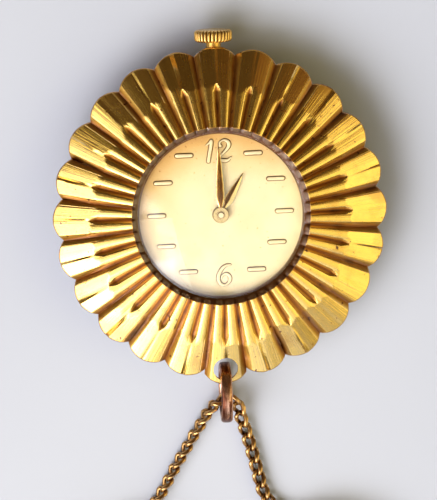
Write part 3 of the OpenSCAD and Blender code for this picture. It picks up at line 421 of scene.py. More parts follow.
def flower_face(radius, angle, petal):
    """Height of the flower's face, and how deep the point lies in a groove, both in mm. Convex flutes on
    a cone are cut by a steeper pad, so the lower of the two counts; V grooves are then taken off."""
    flute = 1 - ((np.abs(angle) - flute_middle) / flute_half) ** 2
    dome = inner_height - flute_slope * (radius - inner_radius) + flute_crown * np.clip(flute, 0, 1)
    across = np.radians(angle) * radius
    side = (angle > 0).astype(int)
    slope = pad_slope + petal_slope[side, petal] * np.clip(np.abs(angle) / 0.8, 0, 1)
    pad = (inner_height - flute_slope * (pad_start - inner_radius) + flute_crown + petal_shift[petal]
           - slope * (radius - pad_start) - pad_round * across ** 2 + petal_tilt[side, petal] * across)
    between = groove_depth * np.clip((np.abs(angle) - pad_half) / (petal_angle / 2 - pad_half), 0, 1)
    burr = burr_height * np.exp(-((np.abs(angle) - pad_half) / 0.12) ** 2) * np.clip(radius - 13.5, 0, 1)
    taper = np.clip((middle_groove_tip - radius) / 0.9, 0, 1) ** 0.7
    narrowed = np.maximum(middle_groove_half * taper, 1e-3)
    middle = 0.9 * groove_depth * taper * np.clip(1 - np.abs(angle) / narrowed, 0, 1)
    depth = between + middle
    # The second value also sets how dark the colour is painted, the burr counted twice for a dark line at
    # each pad's edge: tarnish and painted shade.
    return np.minimum(dome, pad) - depth - burr, depth + 2 * burr


def bezel_grid():
    """Rings of points round the flower, in mm, and how much tarnish and painted shade each gets: up the
    inner wall, out over the face, round the rim, back under the sheet and down the skirt that seats in the
    case."""
    half = np.array([0, 0.4, 0.8, 1.2, 1.55, 1.7, 1.8, 2.1, 2.8, 3.6, 4.4, 4.9, 5.2, 5.4, 5.5, 5.6, 5.7,
                     6.1, 6.6, 7.1, 7.45])
    angle = np.concatenate([-half[:0:-1], half])
    columns = len(angle)
    petal = np.repeat(np.arange(petals), columns)
    angle = np.tile(angle, petals)
    turn = np.radians(90 + petal * petal_angle + angle)
    edge = petal_outline(angle, petal)

    def ring(radius, height, tarnish_shade_amount):
        radius, height, tarnish_shade_amount = (np.broadcast_to(v, angle.shape) for v in (radius, height, tarnish_shade_amount))
        return np.stack([radius * np.cos(turn), radius * np.sin(turn), height, tarnish_shade_amount], axis=1)

    # The inner wall is painted darkest brown, the rim and underside less: painted shade with tarnish.
    rows = [ring(lip_radius, skirt_bottom, 1), ring(lip_radius, seat_height, 1),
            ring(seat_radius, seat_height, 1), ring(9.46, 7.1, 1)]
    top, deep = flower_face(np.full(angle.shape, inner_radius), angle, petal)
    for t in (0.06, 0.3, 0.6, 0.86):
        rows.append(ring(9.57 + t * (inner_radius - 9.57), 7.15 + t * (top - 7.15), 1))
    radii = np.concatenate([np.linspace(inner_radius, 13.9, 14), np.linspace(14.0, 15.5, 18)])
    for r in radii:
        top, deep = flower_face(np.full(angle.shape, r), angle, petal)
        # Deeper in a groove, darker brown: tarnish and painted shade.
        rows.append(ring(r, top, 0.75 * np.clip(deep / 0.28, 0, 1)))
    for t in np.linspace(0, 1, 14)[1:]:
        r = 15.5 + t * (edge - 0.12 - 15.5)
        top, deep = flower_face(r, angle, petal)
        rows.append(ring(r, top, 0.75 * np.clip(deep / 0.28, 0, 1)))
    for inset, drop in ((0.07, 0.01), (0.03, 0.035), (0.005, 0.09), (0, 0.16), (0, 0.42), (0.04, 0.5)):
        rows.append(ring(edge - inset, flower_face(edge, angle, petal)[0] - drop, 0.45))
    lower = inner_height - flute_slope * (pad_start - inner_radius) - sheet_thickness
    under_rim = flower_face(edge, np.zeros(angle.shape), petal)[0] - sheet_thickness
    rows.append(ring(edge - 0.25, np.minimum(under_rim, rows[-1][:, 2] - 0.02), 0.6))
    rows += [ring(16.6, lower - pad_slope * 2 - 0.05, 0.6), ring(pad_start, lower, 0.6),
             ring(12.5, lower + 0.4, 0.6), ring(10.7, 7.1, 0.6), ring(skirt_radius, 7.0, 0.6),
             ring(skirt_radius, skirt_bottom, 0.6)]
    return np.stack(rows), np.tile(petal + angle / petal_angle, (len(rows), 1))


# Gold plate on pressed brass under clear lacquer: mirror bright on the cut pads, with fine drawn lines
# along the petals, brown in the grooves, at the pads' edges and on the wall as tarnish and painted shade
# together, and dark specks.
bright_gold, tree = new_material("plated_gold")
place = add_node(tree, "ShaderNodeTexCoord")
# Tarnish and painted shade stored per point, brown in the grooves and on the inner wall.
tarnish_shade_amount = add_node(tree, "ShaderNodeAttribute", attribute_name="tarnish_and_painted_shade").outputs["Fac"]
drawn = add_node(tree, "ShaderNodeMapping", {"Vector": place.outputs["UV"], "Scale": (26.0, 2.5, 1.0)})
lines = add_node(tree, "ShaderNodeTexNoise", {"Vector": drawn.outputs[0], "Scale": 1.0, "Detail": 4.0})
cloud = add_node(tree, "ShaderNodeTexNoise", {
    "Vector": place.outputs["Object"], "Scale": 260.0, "Detail": 5.0})
speck = add_node(tree, "ShaderNodeTexNoise", {
    "Vector": place.outputs["Object"], "Scale": 1500.0, "Detail": 2.0})
spots = add_node(tree, "ShaderNodeMapRange", {
    "Value": speck.outputs["Fac"], "From Min": 0.68, "From Max": 0.76})
stain = add_node(tree, "ShaderNodeMapRange", {
    "Value": cloud.outputs["Fac"], "From Min": 0.52, "From Max": 0.75, "To Max": 0.35})
stains_tarnish_and_shade = add_node(tree, "ShaderNodeMath", {0: tarnish_shade_amount, 1: stain.outputs[0]}, operation="ADD")
specks_stains_and_shade = add_node(tree, "ShaderNodeMath", {0: stains_tarnish_and_shade.outputs[0], 1: spots.outputs[0]}, operation="ADD")
tint = colour_ramp(tree, specks_stains_and_shade.outputs[0], [
    (0.0, "#edc25c"), (0.3, "#d8a444"), (0.7, "#a86e2a"), (1.0, "#5e3410")])
dull = add_node(tree, "ShaderNodeMapRange", {"Value": specks_stains_and_shade.outputs[0], "To Min": 0.16, "To Max": 0.42})
streak = add_node(tree, "ShaderNodeMath", {0: lines.outputs["Fac"], 1: 0.16}, operation="MULTIPLY_ADD")
tree.links.new(dull.outputs[0], streak.inputs[2])
low = add_node(tree, "ShaderNodeBump", {
    "Height": lines.outputs["Fac"], "Strength": 0.6, "Distance": 0.05 * MM})
fine = add_node(tree, "ShaderNodeBump", {
    "Height": cloud.outputs["Fac"], "Strength": 0.6, "Distance": 0.08 * MM, "Normal": low.outputs["Normal"]})
surface(tree, Base_Color=tint, Metallic=1.0, Roughness=streak.outputs[0], Normal=fine.outputs["Normal"],
        Coat_Weight=1.0, Coat_Roughness=0.12, Coat_IOR=1.6)

grid, around = bezel_grid()
rows, columns = grid.shape[:2]
flower = new_piece("flower_bezel_detail", grid[..., :3].reshape(-1, 3) * MM, grid_faces(rows, columns),
                   bright_gold, 22)
store_points(flower.data, "tarnish_and_painted_shade", grid[..., 3].ravel())
outwards = np.hypot(grid[..., 0], grid[..., 1]).ravel() / tip_radius
lay_map(flower.data, "petals", np.stack([around.ravel(), outwards], axis=1))

bpy.ops.mesh.primitive_cylinder_add(vertices=64, radius=hole_radius * MM, depth=20 * MM,
                                    location=(0, -hole_at * MM, 5 * MM))
drill = bpy.context.object
hole = flower.modifiers.new("ring_hole", "BOOLEAN")
hole.object = drill
hole.operation = "DIFFERENCE"
hole.solver = "EXACT"
bpy.context.view_layer.update()
drilled = bpy.data.meshes.new_from_object(flower.evaluated_get(bpy.context.evaluated_depsgraph_get()))
flower.modifiers.clear()
flower.data = drilled
bpy.data.objects.remove(drill)
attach(flower, "watch")
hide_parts("flower_bezel")

# ------------------------------------------------------------------ case
# Brass case band with its gold plating rubbed thin, a snap-on back with a thumb slot, and the tube
# for the stem. The band holds the bezel's skirt in its top, and the movement drops in from behind.


def turned(name, profile, material, columns=128, smooth_below=30.0, closed=True):
    """A profile of (radius, height) points in mm, turned about Z: every point becomes a circle."""
    profile = np.array(profile, dtype=float)
    a = np.linspace(0, 2 * math.pi, columns, endpoint=False)[None, :]
    r, z = profile[:, 0:1], profile[:, 1:2]
    points = np.stack([r * np.cos(a), r * np.sin(a), z + 0 * a], axis=-1).reshape(-1, 3) * MM
    return new_piece(name, points, grid_faces(len(profile), columns, wrap_rows=closed), material,
                     smooth_below)


def finish(material, *names):
    """Give pieces of the frame a material in place of the one they came with."""
    for name in names:
        nodes[name].data.materials.clear()
        nodes[name].data.materials.append(material)


# Gold plate on turned brass: fine turning lines round the axis, and cloudy wear where it was handled.
case_gold, tree = new_material("turned_gold_plate")
place = add_node(tree, "ShaderNodeTexCoord").outputs["Object"]
split = add_node(tree, "ShaderNodeSeparateXYZ", {"Vector": place})
flat = add_node(tree, "ShaderNodeCombineXYZ", {"X": split.outputs["X"], "Y": split.outputs["Y"]})
away = add_node(tree, "ShaderNodeVectorMath", {0: flat.outputs[0]}, operation="LENGTH")
rings = add_node(tree, "ShaderNodeTexNoise", {"W": away.outputs["Value"], "Scale": 9000.0, "Detail": 2.0},
                 noise_dimensions="1D")
wear = add_node(tree, "ShaderNodeTexNoise", {"Vector": place, "Scale": 240.0, "Detail": 6.0})
tint = colour_ramp(tree, wear.outputs["Fac"], [(0.35, "#a9813f"), (0.55, "#d9aa55"), (0.75, "#e7bd68")])
dull = add_node(tree, "ShaderNodeMapRange", {"Value": wear.outputs["Fac"], "To Min": 0.18, "To Max": 0.42})
cut = add_node(tree, "ShaderNodeBump", {
    "Height": rings.outputs["Fac"], "Strength": 0.2, "Distance": 0.01 * MM})
surface(tree, Base_Color=tint, Metallic=1.0, Roughness=dull.outputs[0], Normal=cut.outputs["Normal"])
finish(case_gold, "case_middle", "case_back", "case_tube")

# ------------------------------------------------------------------ dial
# Stamped brass disc, sprayed with cream lacquer, painted tan towards its rim as painted shade. Two feet
# under it stand in the main plate. The short gold bars are faceted and riveted on at the hours.

dial_top = 5.75
applied_height = 0.14
bar_length = 2.2
bar_width = 0.58
bar_places = np.array([[-3.9, 6.8], [3.9, 6.8], [-6.35, 3.8], [6.35, 3.8], [-7.2, 0.1], [7.2, 0.1],
                       [-6.25, -3.4], [6.25, -3.4], [-3.85, -6.4], [3.85, -6.4]])

# Aged cream lacquer with a faint satin sheen: painted shade in tan towards the rim, strongest at the
# top-left, dust-sized brown specks, soft stains.
cream_lacquer, tree = new_material("aged_cream_lacquer")
place = add_node(tree, "ShaderNodeTexCoord").outputs["Object"]
# The tan grows with distance from a point below and right of the middle: painted shade, darkest at the
# top-left.
painted_shade_centre = add_node(tree, "ShaderNodeVectorMath", {0: place, 1: (-1.2 * MM, 2.2 * MM, 0)})
away = add_node(tree, "ShaderNodeVectorMath", {0: painted_shade_centre.outputs[0]}, operation="LENGTH")
rim = add_node(tree, "ShaderNodeMapRange", {"Value": away.outputs["Value"], "From Min": 8.4 * MM,
                                            "From Max": 17.0 * MM})
cloud = add_node(tree, "ShaderNodeTexNoise", {"Vector": place, "Scale": 190.0, "Detail": 4.0})
stains_and_painted_shade = add_node(tree, "ShaderNodeMath", {0: cloud.outputs["Fac"], 1: 0.45, 2: rim.outputs[0]},
                operation="MULTIPLY_ADD")
speck = add_node(tree, "ShaderNodeTexNoise", {"Vector": place, "Scale": 2600.0, "Detail": 1.0})
spots = add_node(tree, "ShaderNodeMapRange", {
    "Value": speck.outputs["Fac"], "From Min": 0.70, "From Max": 0.78, "To Max": 0.5})
total = add_node(tree, "ShaderNodeMath", {0: stains_and_painted_shade.outputs[0], 1: spots.outputs[0]}, operation="ADD")
tint = colour_ramp(tree, total.outputs[0], [
    (0.1, "#dfd4b8"), (0.4, "#dac89e"), (0.75, "#c59e60"), (1.0, "#96652f")])
grain = add_node(tree, "ShaderNodeBump", {
    "Height": speck.outputs["Fac"], "Strength": 0.12, "Distance": 0.02 * MM})
surface(tree, Base_Color=tint, Metallic=0.1, Roughness=0.42, Normal=grain.outputs["Normal"])
finish(cream_lacquer, "dial")

# Polished gold-plated brass of the applied hours: cream-bright on top, with brown painted round the foot
# of each stroke as painted shade.
applied_gold, tree = new_material("applied_gold")
foot_shade = add_node(tree, "ShaderNodeAttribute", attribute_name="foot_shade").outputs["Fac"]
place = add_node(tree, "ShaderNodeTexCoord").outputs["Object"]
wear = add_node(tree, "ShaderNodeTexNoise", {"Vector": place, "Scale": 1500.0, "Detail": 3.0})
mixed = add_node(tree, "ShaderNodeMath", {0: wear.outputs["Fac"], 1: 0.3, 2: foot_shade}, operation="MULTIPLY_ADD")
tint = colour_ramp(tree, mixed.outputs[0], [
    (0.2, "#fff3d2"), (0.5, "#f0d8a0"), (0.8, "#7a4a1e"), (1.0, "#4a2a12")])
surface(tree, Base_Color=tint, Metallic=0.75, Roughness=0.3)


def raised_strokes(name, strokes, height, lift, material):
    """Strokes of a pressed figure. A stroke is a path with a width at each point; its section is a dome
    with steep sides, z = height * (1 - s^4) at s from -1 to 1 across, and round ends close it."""
    all_points, all_faces, feet, start = [], [], [], 0
    across = np.array([-1.0, -0.99, -0.9, -0.74, -0.56, -0.25, 0.25, 0.56, 0.74, 0.9, 0.99, 1.0])
    rise = np.array([0.0, 0.3, 0.62, 0.84, 0.95, 1.0, 1.0, 0.95, 0.84, 0.62, 0.3, 0.0])
    for path, width in strokes:
        path, width = np.array(path, dtype=float), np.array(width, dtype=float)
        line = smooth_curve(np.column_stack([path, width]), 8)
        ahead = np.gradient(line[:, :2], axis=0)
        ahead /= np.linalg.norm(ahead, axis=1, keepdims=True)
        side = np.stack([-ahead[:, 1], ahead[:, 0]], axis=1)
        cap = np.radians([90, 75, 50, 25])
        first, last = line[0], line[-1]
        middle = np.vstack([first[:2] - np.outer(np.sin(cap) * first[2] / 2, ahead[0]), line[:, :2],
                            last[:2] + np.outer(np.sin(cap[::-1]) * last[2] / 2, ahead[-1])])
        wide = np.concatenate([np.maximum(np.cos(cap), 0.02) * first[2], line[:, 2],
                               np.maximum(np.cos(cap[::-1]), 0.02) * last[2]]) / 2
        low = np.concatenate([np.cos(cap) ** 0.5, np.ones(len(line)), np.cos(cap[::-1]) ** 0.5])
        sides = np.vstack([np.repeat(side[:1], 4, axis=0), side, np.repeat(side[-1:], 4, axis=0)])
        xy = middle[:, None] + sides[:, None] * (across[None, :, None] * wide[:, None, None])
        z = lift + height * rise[None, :] * np.where(low[:, None] > 0.01, low[:, None], 0.02)
        points = np.concatenate([xy, z[..., None]], axis=-1)
        rows, columns = points.shape[:2]
        faces = grid_faces(rows, columns, wrap_rows=False) + start
        first_end = list(range(start, start + columns))
        last_end = [corner + (rows - 1) * columns for corner in reversed(first_end)]
        all_points.append(points.reshape(-1, 3))
        all_faces += [*faces.tolist(), first_end, last_end]
        # Painted shade: how near each point lies to a stroke's foot, which the material turns brown.
        round_end = np.concatenate([np.sin(cap), np.zeros(len(line)), np.sin(cap[::-1])])[:, None]
        from_middle = np.hypot(across[None, :] * np.sqrt(1 - round_end ** 2), round_end)
        feet.append(np.clip((from_middle - 0.52) / 0.24, 0, 1).ravel())
        start += rows * columns
    mesh = bpy.data.meshes.new(name)
    mesh.from_pydata((np.vstack(all_points) * MM).tolist(), [], all_faces)
    outward_faces(mesh)
    mesh.shade_smooth()
    mesh.materials.append(material)
    store_points(mesh, "foot_shade", np.concatenate(feet))
    piece = bpy.data.objects.new(name, mesh)
    bpy.context.scene.collection.objects.link(piece)
    return piece


half_bar = (bar_length - bar_width) / 2
bars = [([p - [half_bar, 0], p, p + [half_bar, 0]], [bar_width] * 3) for p in bar_places]
markers = raised_strokes("hour_bars", bars, applied_height, dial_top, applied_gold)
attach(markers, "watch")
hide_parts("hour_markers")

# ------------------------------------------------------------------ numerals
# Pressed 12 and 6 in a sloping script with swelling strokes, gold plated and riveted to the dial.

twelve_at = np.array([0.08, 7.2])
six_at = np.array([0.1, -6.85])
figure_stretch = [1.05, 1.06]
one = ([[-1.38, 0.62], [-1.05, 0.86], [-0.80, 1.12], [-0.86, 0.60], [-0.98, 0.0], [-1.10, -0.6],
        [-1.18, -1.08]],
       [0.16, 0.34, 0.44, 0.54, 0.54, 0.52, 0.56])
two = ([[0.16, 0.50], [0.06, 0.74], [0.22, 1.02], [0.62, 1.12], [1.00, 0.90], [1.04, 0.48], [0.72, 0.02],
        [0.22, -0.45], [-0.18, -0.90], [0.10, -0.98], [0.52, -1.05], [0.94, -1.02], [1.24, -0.72]],
       [0.46, 0.36, 0.26, 0.36, 0.54, 0.56, 0.44, 0.32, 0.30, 0.44, 0.52, 0.42, 0.18])
six = ([[0.78, 1.02], [0.36, 0.98], [-0.10, 0.68], [-0.46, 0.12], [-0.58, -0.48], [-0.34, -0.98],
        [0.12, -1.12], [0.58, -0.82], [0.66, -0.30], [0.36, 0.06], [-0.06, -0.04], [-0.24, -0.42]],
       [0.24, 0.38, 0.50, 0.54, 0.52, 0.42, 0.34, 0.46, 0.50, 0.38, 0.28, 0.20])
for name, strokes, at in (("numeral_twelve", (one, two), twelve_at), ("numeral_six", (six,), six_at)):
    moved = [(np.array(path) * figure_stretch + at, width) for path, width in strokes]
    figure = raised_strokes(name + "_figure", moved, applied_height, dial_top, applied_gold)
    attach(figure, "watch")
    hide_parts(name)

# ------------------------------------------------------------------ hands
# Stamped leaf hands with a ridge down the middle, so each has a light and a dark side; on the hour hand
# the right side is painted bright as well, a painted highlight. The minute hand presses on the cannon
# pinion, and the hour hand on the tube of the hour wheel below it.

hand_thickness = 0.12
hour_turn = math.radians(-30)


def hand_sheet(long, wide, widest_at, boss, rows=40, columns=9):
    """Leaf hand along +Y: half width grows from the boss as a smooth step to its widest, then falls as
    1 - t^1.35 to the tip. The ridge stands by the thickness over edges of a third of it."""
    y = np.concatenate([np.linspace(0.0, widest_at, rows // 3, endpoint=False),
                        np.linspace(widest_at, long, rows - rows // 3)])
    neck = 0.16
    grow = np.clip((y - boss * 0.8) / (widest_at - boss * 0.8), 0, 1)
    grow = grow * grow * (3 - 2 * grow)
    fall = 1 - np.clip((y - widest_at) / (long - widest_at), 0, 1) ** 1.35
    half = np.where(y <= widest_at, neck + (wide / 2 - neck) * grow, wide / 2 * fall + 0.012)
    s = np.linspace(-1, 1, columns)
    x = half[:, None] * s[None, :]
    top = hand_thickness * (1 - 0.55 * np.abs(s))[None, :] + 0 * x
    y = y[:, None] + 0 * x
    return x, y, top, np.abs(s)[None, :] ** 3 + 0 * x


def leaf_hand(name, long, wide, widest_at, boss, bore, z, turn, painted_lit_side, material, body):
    """The leaf's top, sides and flat underside, and the boss: a ring with rounded shoulders. The plating
    shows on the edges as wear, and the right side is painted bright by the amount given for its lit side, a
    painted highlight."""
    x, y, top, edge = hand_sheet(long, wide, widest_at, boss)
    keep = y[:, 0] > bore + 0.06
    x, y, top, edge = x[keep], y[keep], top[keep], edge[keep]
    rows, columns = x.shape
    section = np.stack([np.hstack([x, x[:, ::-1]]), np.hstack([y, y]), np.hstack([top, 0 * x])], axis=-1)
    leaf = section.reshape(-1, 3)
    faces = grid_faces(rows, 2 * columns, wrap_rows=False).tolist()
    first_end = list(range(2 * columns))
    last_end = [corner + (rows - 1) * 2 * columns for corner in reversed(first_end)]
    faces += [first_end, last_end]
    a = np.linspace(0, 2 * math.pi, 64, endpoint=False)[None, :]
    profile = np.array([[bore, 0.0], [boss, 0.0], [boss, 0.07], [boss - 0.05, hand_thickness],
                        [bore + 0.04, hand_thickness], [bore, hand_thickness - 0.03]])
    r, h = profile[:, 0:1], profile[:, 1:2]
    ring = np.stack([r * np.sin(a), r * np.cos(a), h + 0 * a], axis=-1).reshape(-1, 3)
    faces += (grid_faces(len(profile), 64) + len(leaf)).tolist()
    points = np.vstack([leaf, ring])
    c, s = math.cos(turn), math.sin(turn)
    points = np.stack([points[:, 0] * c - points[:, 1] * s, points[:, 0] * s + points[:, 1] * c,
                       points[:, 2] + z], axis=1)
    mesh = bpy.data.meshes.new(name)
    mesh.from_pydata((points * MM).tolist(), [], faces)
    outward_faces(mesh)
    mesh.shade_smooth()
    mesh.set_sharp_from_angle(angle=math.radians(12))
    mesh.materials.append(material)
    # Painted highlight over the right facet, added to the wear along the edges.
    wear_and_painted_light = np.where(x > 0.02, painted_lit_side, 0) + edge
    around = np.repeat([0, 0, 0.1, 0.9, 0.9, 0], 64)
    rim = np.concatenate([np.hstack([wear_and_painted_light, 0 * edge]).ravel(), around])
    store_points(mesh, "rim", rim)
    piece = bpy.data.objects.new(name, mesh)
    bpy.context.scene.collection.objects.link(piece)
    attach(piece, body)
    return piece


# Bronzed gilt brass: dark brown lacquer on the facets, worn through to bright gold along the edges, and
# bright gold on the hour hand's right facet as a painted highlight.
hand_bronze, tree = new_material("bronzed_gilt")
rim = add_node(tree, "ShaderNodeAttribute", attribute_name="rim").outputs["Fac"]
place = add_node(tree, "ShaderNodeTexCoord").outputs["Object"]
wear = add_node(tree, "ShaderNodeTexNoise", {"Vector": place, "Scale": 1300.0, "Detail": 4.0})
mixed = add_node(tree, "ShaderNodeMath", {0: wear.outputs["Fac"], 1: 0.35, 2: rim}, operation="MULTIPLY_ADD")
tint = colour_ramp(tree, mixed.outputs[0], [
    (0.1, "#5f3d1a"), (0.42, "#86592a"), (0.7, "#ecca84"), (1.0, "#fff0c4")])
surface(tree, Base_Color=tint, Metallic=1.0, Roughness=0.27)
minute = leaf_hand("minute_hand_leaf", long=8.2, wide=0.95, widest_at=2.1, boss=0.9, bore=0.46, z=6.39,
                   turn=0.0, painted_lit_side=0.0, material=hand_bronze, body="centre_arbor")
hour = leaf_hand("hour_hand_leaf", long=5.4, wide=1.05, widest_at=1.9, boss=0.95, bore=0.75, z=6.07,
                 turn=hour_turn, painted_lit_side=0.8, material=hand_bronze, body="hour_group")
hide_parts("minute_hand")
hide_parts("hour_hand")

# ------------------------------------------------------------------ crystal
# Pressed acrylic crystal: a shallow dome with a flat edge, snapped into the bezel's seat.

crystal_radius = 9.45
crystal_seat = 6.5
crystal_thickness = 0.6
crystal_rise = 1.3
ball = (crystal_radius ** 2 + crystal_rise ** 2) / (2 * crystal_rise)
ball_centre = crystal_seat + crystal_thickness + crystal_rise - ball

# Clear acrylic, very slightly yellowed, with fine hairline scratches from wear. Shadow rays pass
# straight through, so the dial under it stays bright.
clear_acrylic, tree = new_material("clear_acrylic")
place = add_node(tree, "ShaderNodeTexCoord").outputs["Object"]
stretch = add_node(tree, "ShaderNodeMapping", {
    "Vector": place, "Rotation": (0, 0, 0.7), "Scale": (30.0, 900.0, 30.0)})
hair = add_node(tree, "ShaderNodeTexNoise", {"Vector": stretch.outputs[0], "Scale": 3.0, "Detail": 3.0})
scratch = add_node(tree, "ShaderNodeMapRange", {
    "Value": hair.outputs["Fac"], "From Min": 0.70, "From Max": 0.80, "To Min": 0.015, "To Max": 0.07})
shader = add_node(tree, "ShaderNodeBsdfPrincipled", {
    "Base Color": linear("#fffdf6"), "Roughness": scratch.outputs[0], "IOR": 1.49,
    "Transmission Weight": 1.0})
shade = add_node(tree, "ShaderNodeLightPath").outputs["Is Shadow Ray"]
open_way = add_node(tree, "ShaderNodeBsdfTransparent", {"Color": linear("#fffaf0")})
pick = add_node(tree, "ShaderNodeMixShader", {0: shade, 1: shader.outputs[0], 2: open_way.outputs[0]})
add_node(tree, "ShaderNodeOutputMaterial", {"Surface": pick.outputs[0]})

outer = np.sin(np.linspace(0.0005, math.asin(crystal_radius / ball), 26)) * ball
outer[-1] = crystal_radius
inner_ball = ball - crystal_thickness
inner_edge = math.sqrt(inner_ball ** 2 - (crystal_seat - ball_centre) ** 2)
inner = np.linspace(inner_edge, 0.01, 26)
profile = [(r, ball_centre + math.sqrt(ball ** 2 - r ** 2)) for r in outer]
profile += [(crystal_radius, crystal_seat)]
profile += [(r, ball_centre + math.sqrt(inner_ball ** 2 - r ** 2)) for r in inner]
crystal = turned("crystal_dome", profile[::-1], clear_acrylic, 160, 35, closed=False)
outward_faces(crystal.data, fill_ends=True)
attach(crystal, "watch")
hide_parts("crystal")

# ------------------------------------------------------------------ crown
# Turned brass crown, coarsely knurled and gold plated, with a domed end. It screws on the stem.

crown_start = 19.4
crown_teeth = 30
tooth_depth = 0.1
stem_height = 3.4

# Bright gold plate on the knurl's crests, with brown dirt packed between the teeth.
crown_gold, tree = new_material("knurled_gold_plate")
packed = add_node(tree, "ShaderNodeAttribute", attribute_name="root").outputs["Fac"]
place = add_node(tree, "ShaderNodeTexCoord").outputs["Object"]
wear = add_node(tree, "ShaderNodeTexNoise", {"Vector": place, "Scale": 1100.0, "Detail": 3.0})
mixed = add_node(tree, "ShaderNodeMath", {
    0: wear.outputs["Fac"], 1: 0.4, 2: packed}, operation="MULTIPLY_ADD")
tint = colour_ramp(tree, mixed.outputs[0], [
    (0.15, "#f2cd7e"), (0.5, "#c8923f"), (0.85, "#6d441c"), (1.0, "#4a2d13")])
dull = add_node(tree, "ShaderNodeMapRange", {"Value": mixed.outputs[0], "To Min": 0.16, "To Max": 0.5})
surface(tree, Base_Color=tint, Metallic=1.0, Roughness=dull.outputs[0])


def knurled(steps=8):
    """The crown along +Y: each circle's radius is cut back between teeth by depth * (1 - |sin|^0.6),
    and the depth fades out over the domed end."""
    profile = np.array([[1.0, 0.0, 0], [1.85, 0.0, 0], [2.0, 0.08, 0.5], [2.12, 0.2, 1], [2.15, 0.3, 1],
                        [2.15, 0.7, 1], [2.15, 1.05, 1], [2.10, 1.18, 1], [1.98, 1.28, 0.8],
                        [1.8, 1.345, 0.4], [1.5, 1.39, 0], [1.1, 1.42, 0], [0.6, 1.44, 0], [0.02, 1.45, 0]])
    a = np.linspace(0, 2 * math.pi, crown_teeth * steps, endpoint=False)[None, :]
    valley = 1 - np.abs(np.sin(a * crown_teeth / 2)) ** 0.6
    r = profile[:, 0:1] * (1 - tooth_depth * valley * profile[:, 2:3])
    y = crown_start + profile[:, 1:2] + 0 * a
    points = np.stack([r * np.sin(a), y, stem_height + r * np.cos(a)], axis=-1)
    return points, valley * profile[:, 2:3]


points, root = knurled()
rows, columns = root.shape
crown = new_piece("crown_knurled", points.reshape(-1, 3) * MM, grid_faces(rows, columns, wrap_rows=False),
                  crown_gold, 35)
store_points(crown.data, "root", root.ravel())
outward_faces(crown.data, fill_ends=True)
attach(crown, "crown_stem")
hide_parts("crown")

# ------------------------------------------------------------------ jump ring
# Flat brass band bent round to a ring, its plating worn to rosy copper. It hangs in the petal's hole.

ring_centre = np.array([0, -20.9, 3.5])
ring_outer = 3.5
ring_band = 0.95
ring_width = 1.28

# Copper-coloured metal with brown streaks along the band and rubbed-bright patches.
worn_copper, tree = new_material("worn_copper_plate")
along = add_node(tree, "ShaderNodeTexCoord").outputs["UV"]
place = add_node(tree, "ShaderNodeTexCoord").outputs["Object"]
pull = add_node(tree, "ShaderNodeMapping", {"Vector": along, "Scale": (3.0, 10.0, 1.0)})
streak = add_node(tree, "ShaderNodeTexNoise", {"Vector": pull.outputs[0], "Scale": 1.6, "Detail": 4.0})
patch = add_node(tree, "ShaderNodeTexNoise", {"Vector": place, "Scale": 500.0, "Detail": 4.0})
mixed = add_node(tree, "ShaderNodeMath", {
    0: streak.outputs["Fac"], 1: patch.outputs["Fac"]}, operation="ADD")
tint = colour_ramp(tree, mixed.outputs[0], [
    (0.75, "#43241a"), (0.95, "#7d4a33"), (1.12, "#a96f50"), (1.3, "#d8a684")])
dull = add_node(tree, "ShaderNodeMapRange", {"Value": mixed.outputs[0], "From Min": 0.7, "From Max": 1.3,
                                             "To Min": 0.4, "To Max": 0.2})
surface(tree, Base_Color=tint, Metallic=1.0, Roughness=dull.outputs[0])


def band_ring(centre, outer, band, width, around=120, section=24):
    """Ring in the YZ plane. Its section is a superellipse, (cos^0.6, sin^0.6) over half the band's
    thickness and half its width, so the corners are rounded."""
    a = np.linspace(0, 2 * math.pi, around, endpoint=False)[:, None]
    b = np.linspace(0, 2 * math.pi, section, endpoint=False)[None, :]
    out = np.sign(np.cos(b)) * np.abs(np.cos(b)) ** 0.6 * band / 2
    side = np.sign(np.sin(b)) * np.abs(np.sin(b)) ** 0.6 * width / 2
    r = outer - band / 2 + out
    points = np.stack([side + 0 * a, r * np.cos(a), r * np.sin(a)], axis=-1) + centre
    return points, np.stack([a / (2 * math.pi) + 0 * b, b / (2 * math.pi) + 0 * a], axis=-1)


points, flat = band_ring(ring_centre, ring_outer, ring_band, ring_width)
rows, columns = points.shape[:2]
band = new_piece("jump_ring_band", points.reshape(-1, 3) * MM, grid_faces(rows, columns), worn_copper,
                 60)
lay_map(band.data, "band", flat.reshape(-1, 2))
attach(band, "ring")
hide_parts("jump_ring")

# ------------------------------------------------------------------ spring-ring clasp
# Hollow ring of gold-plated tube with a sprung bolt inside and a flat lug. A wire link joins it to one
# end of the chain, and it closes on the small ring at the other end.

# Polished gold plate over brass, rubbed and slightly hazy from handling.
clasp_gold, tree = new_material("polished_gold_plate")
place = add_node(tree, "ShaderNodeTexCoord").outputs["Object"]
wear = add_node(tree, "ShaderNodeTexNoise", {"Vector": place, "Scale": 700.0, "Detail": 5.0})
tint = colour_ramp(tree, wear.outputs["Fac"], [(0.3, "#b3873f"), (0.5, "#e3b860"), (0.75, "#f2cf86")])
dull = add_node(tree, "ShaderNodeMapRange", {"Value": wear.outputs["Fac"], "To Min": 0.12, "To Max": 0.38})
surface(tree, Base_Color=tint, Metallic=1.0, Roughness=dull.outputs[0])
finish(clasp_gold, "clasp_body", "clasp_bolt", "clasp_link", "chain_end_ring")

# ------------------------------------------------------------------ plates and bridges
# Nickel-plated brass plates carry the movement: the main plate under the dial, with bridges for the
# barrel, the train, the pallets and the balance. A plain ring centres it in the case.

stripe_pitch = 1.1

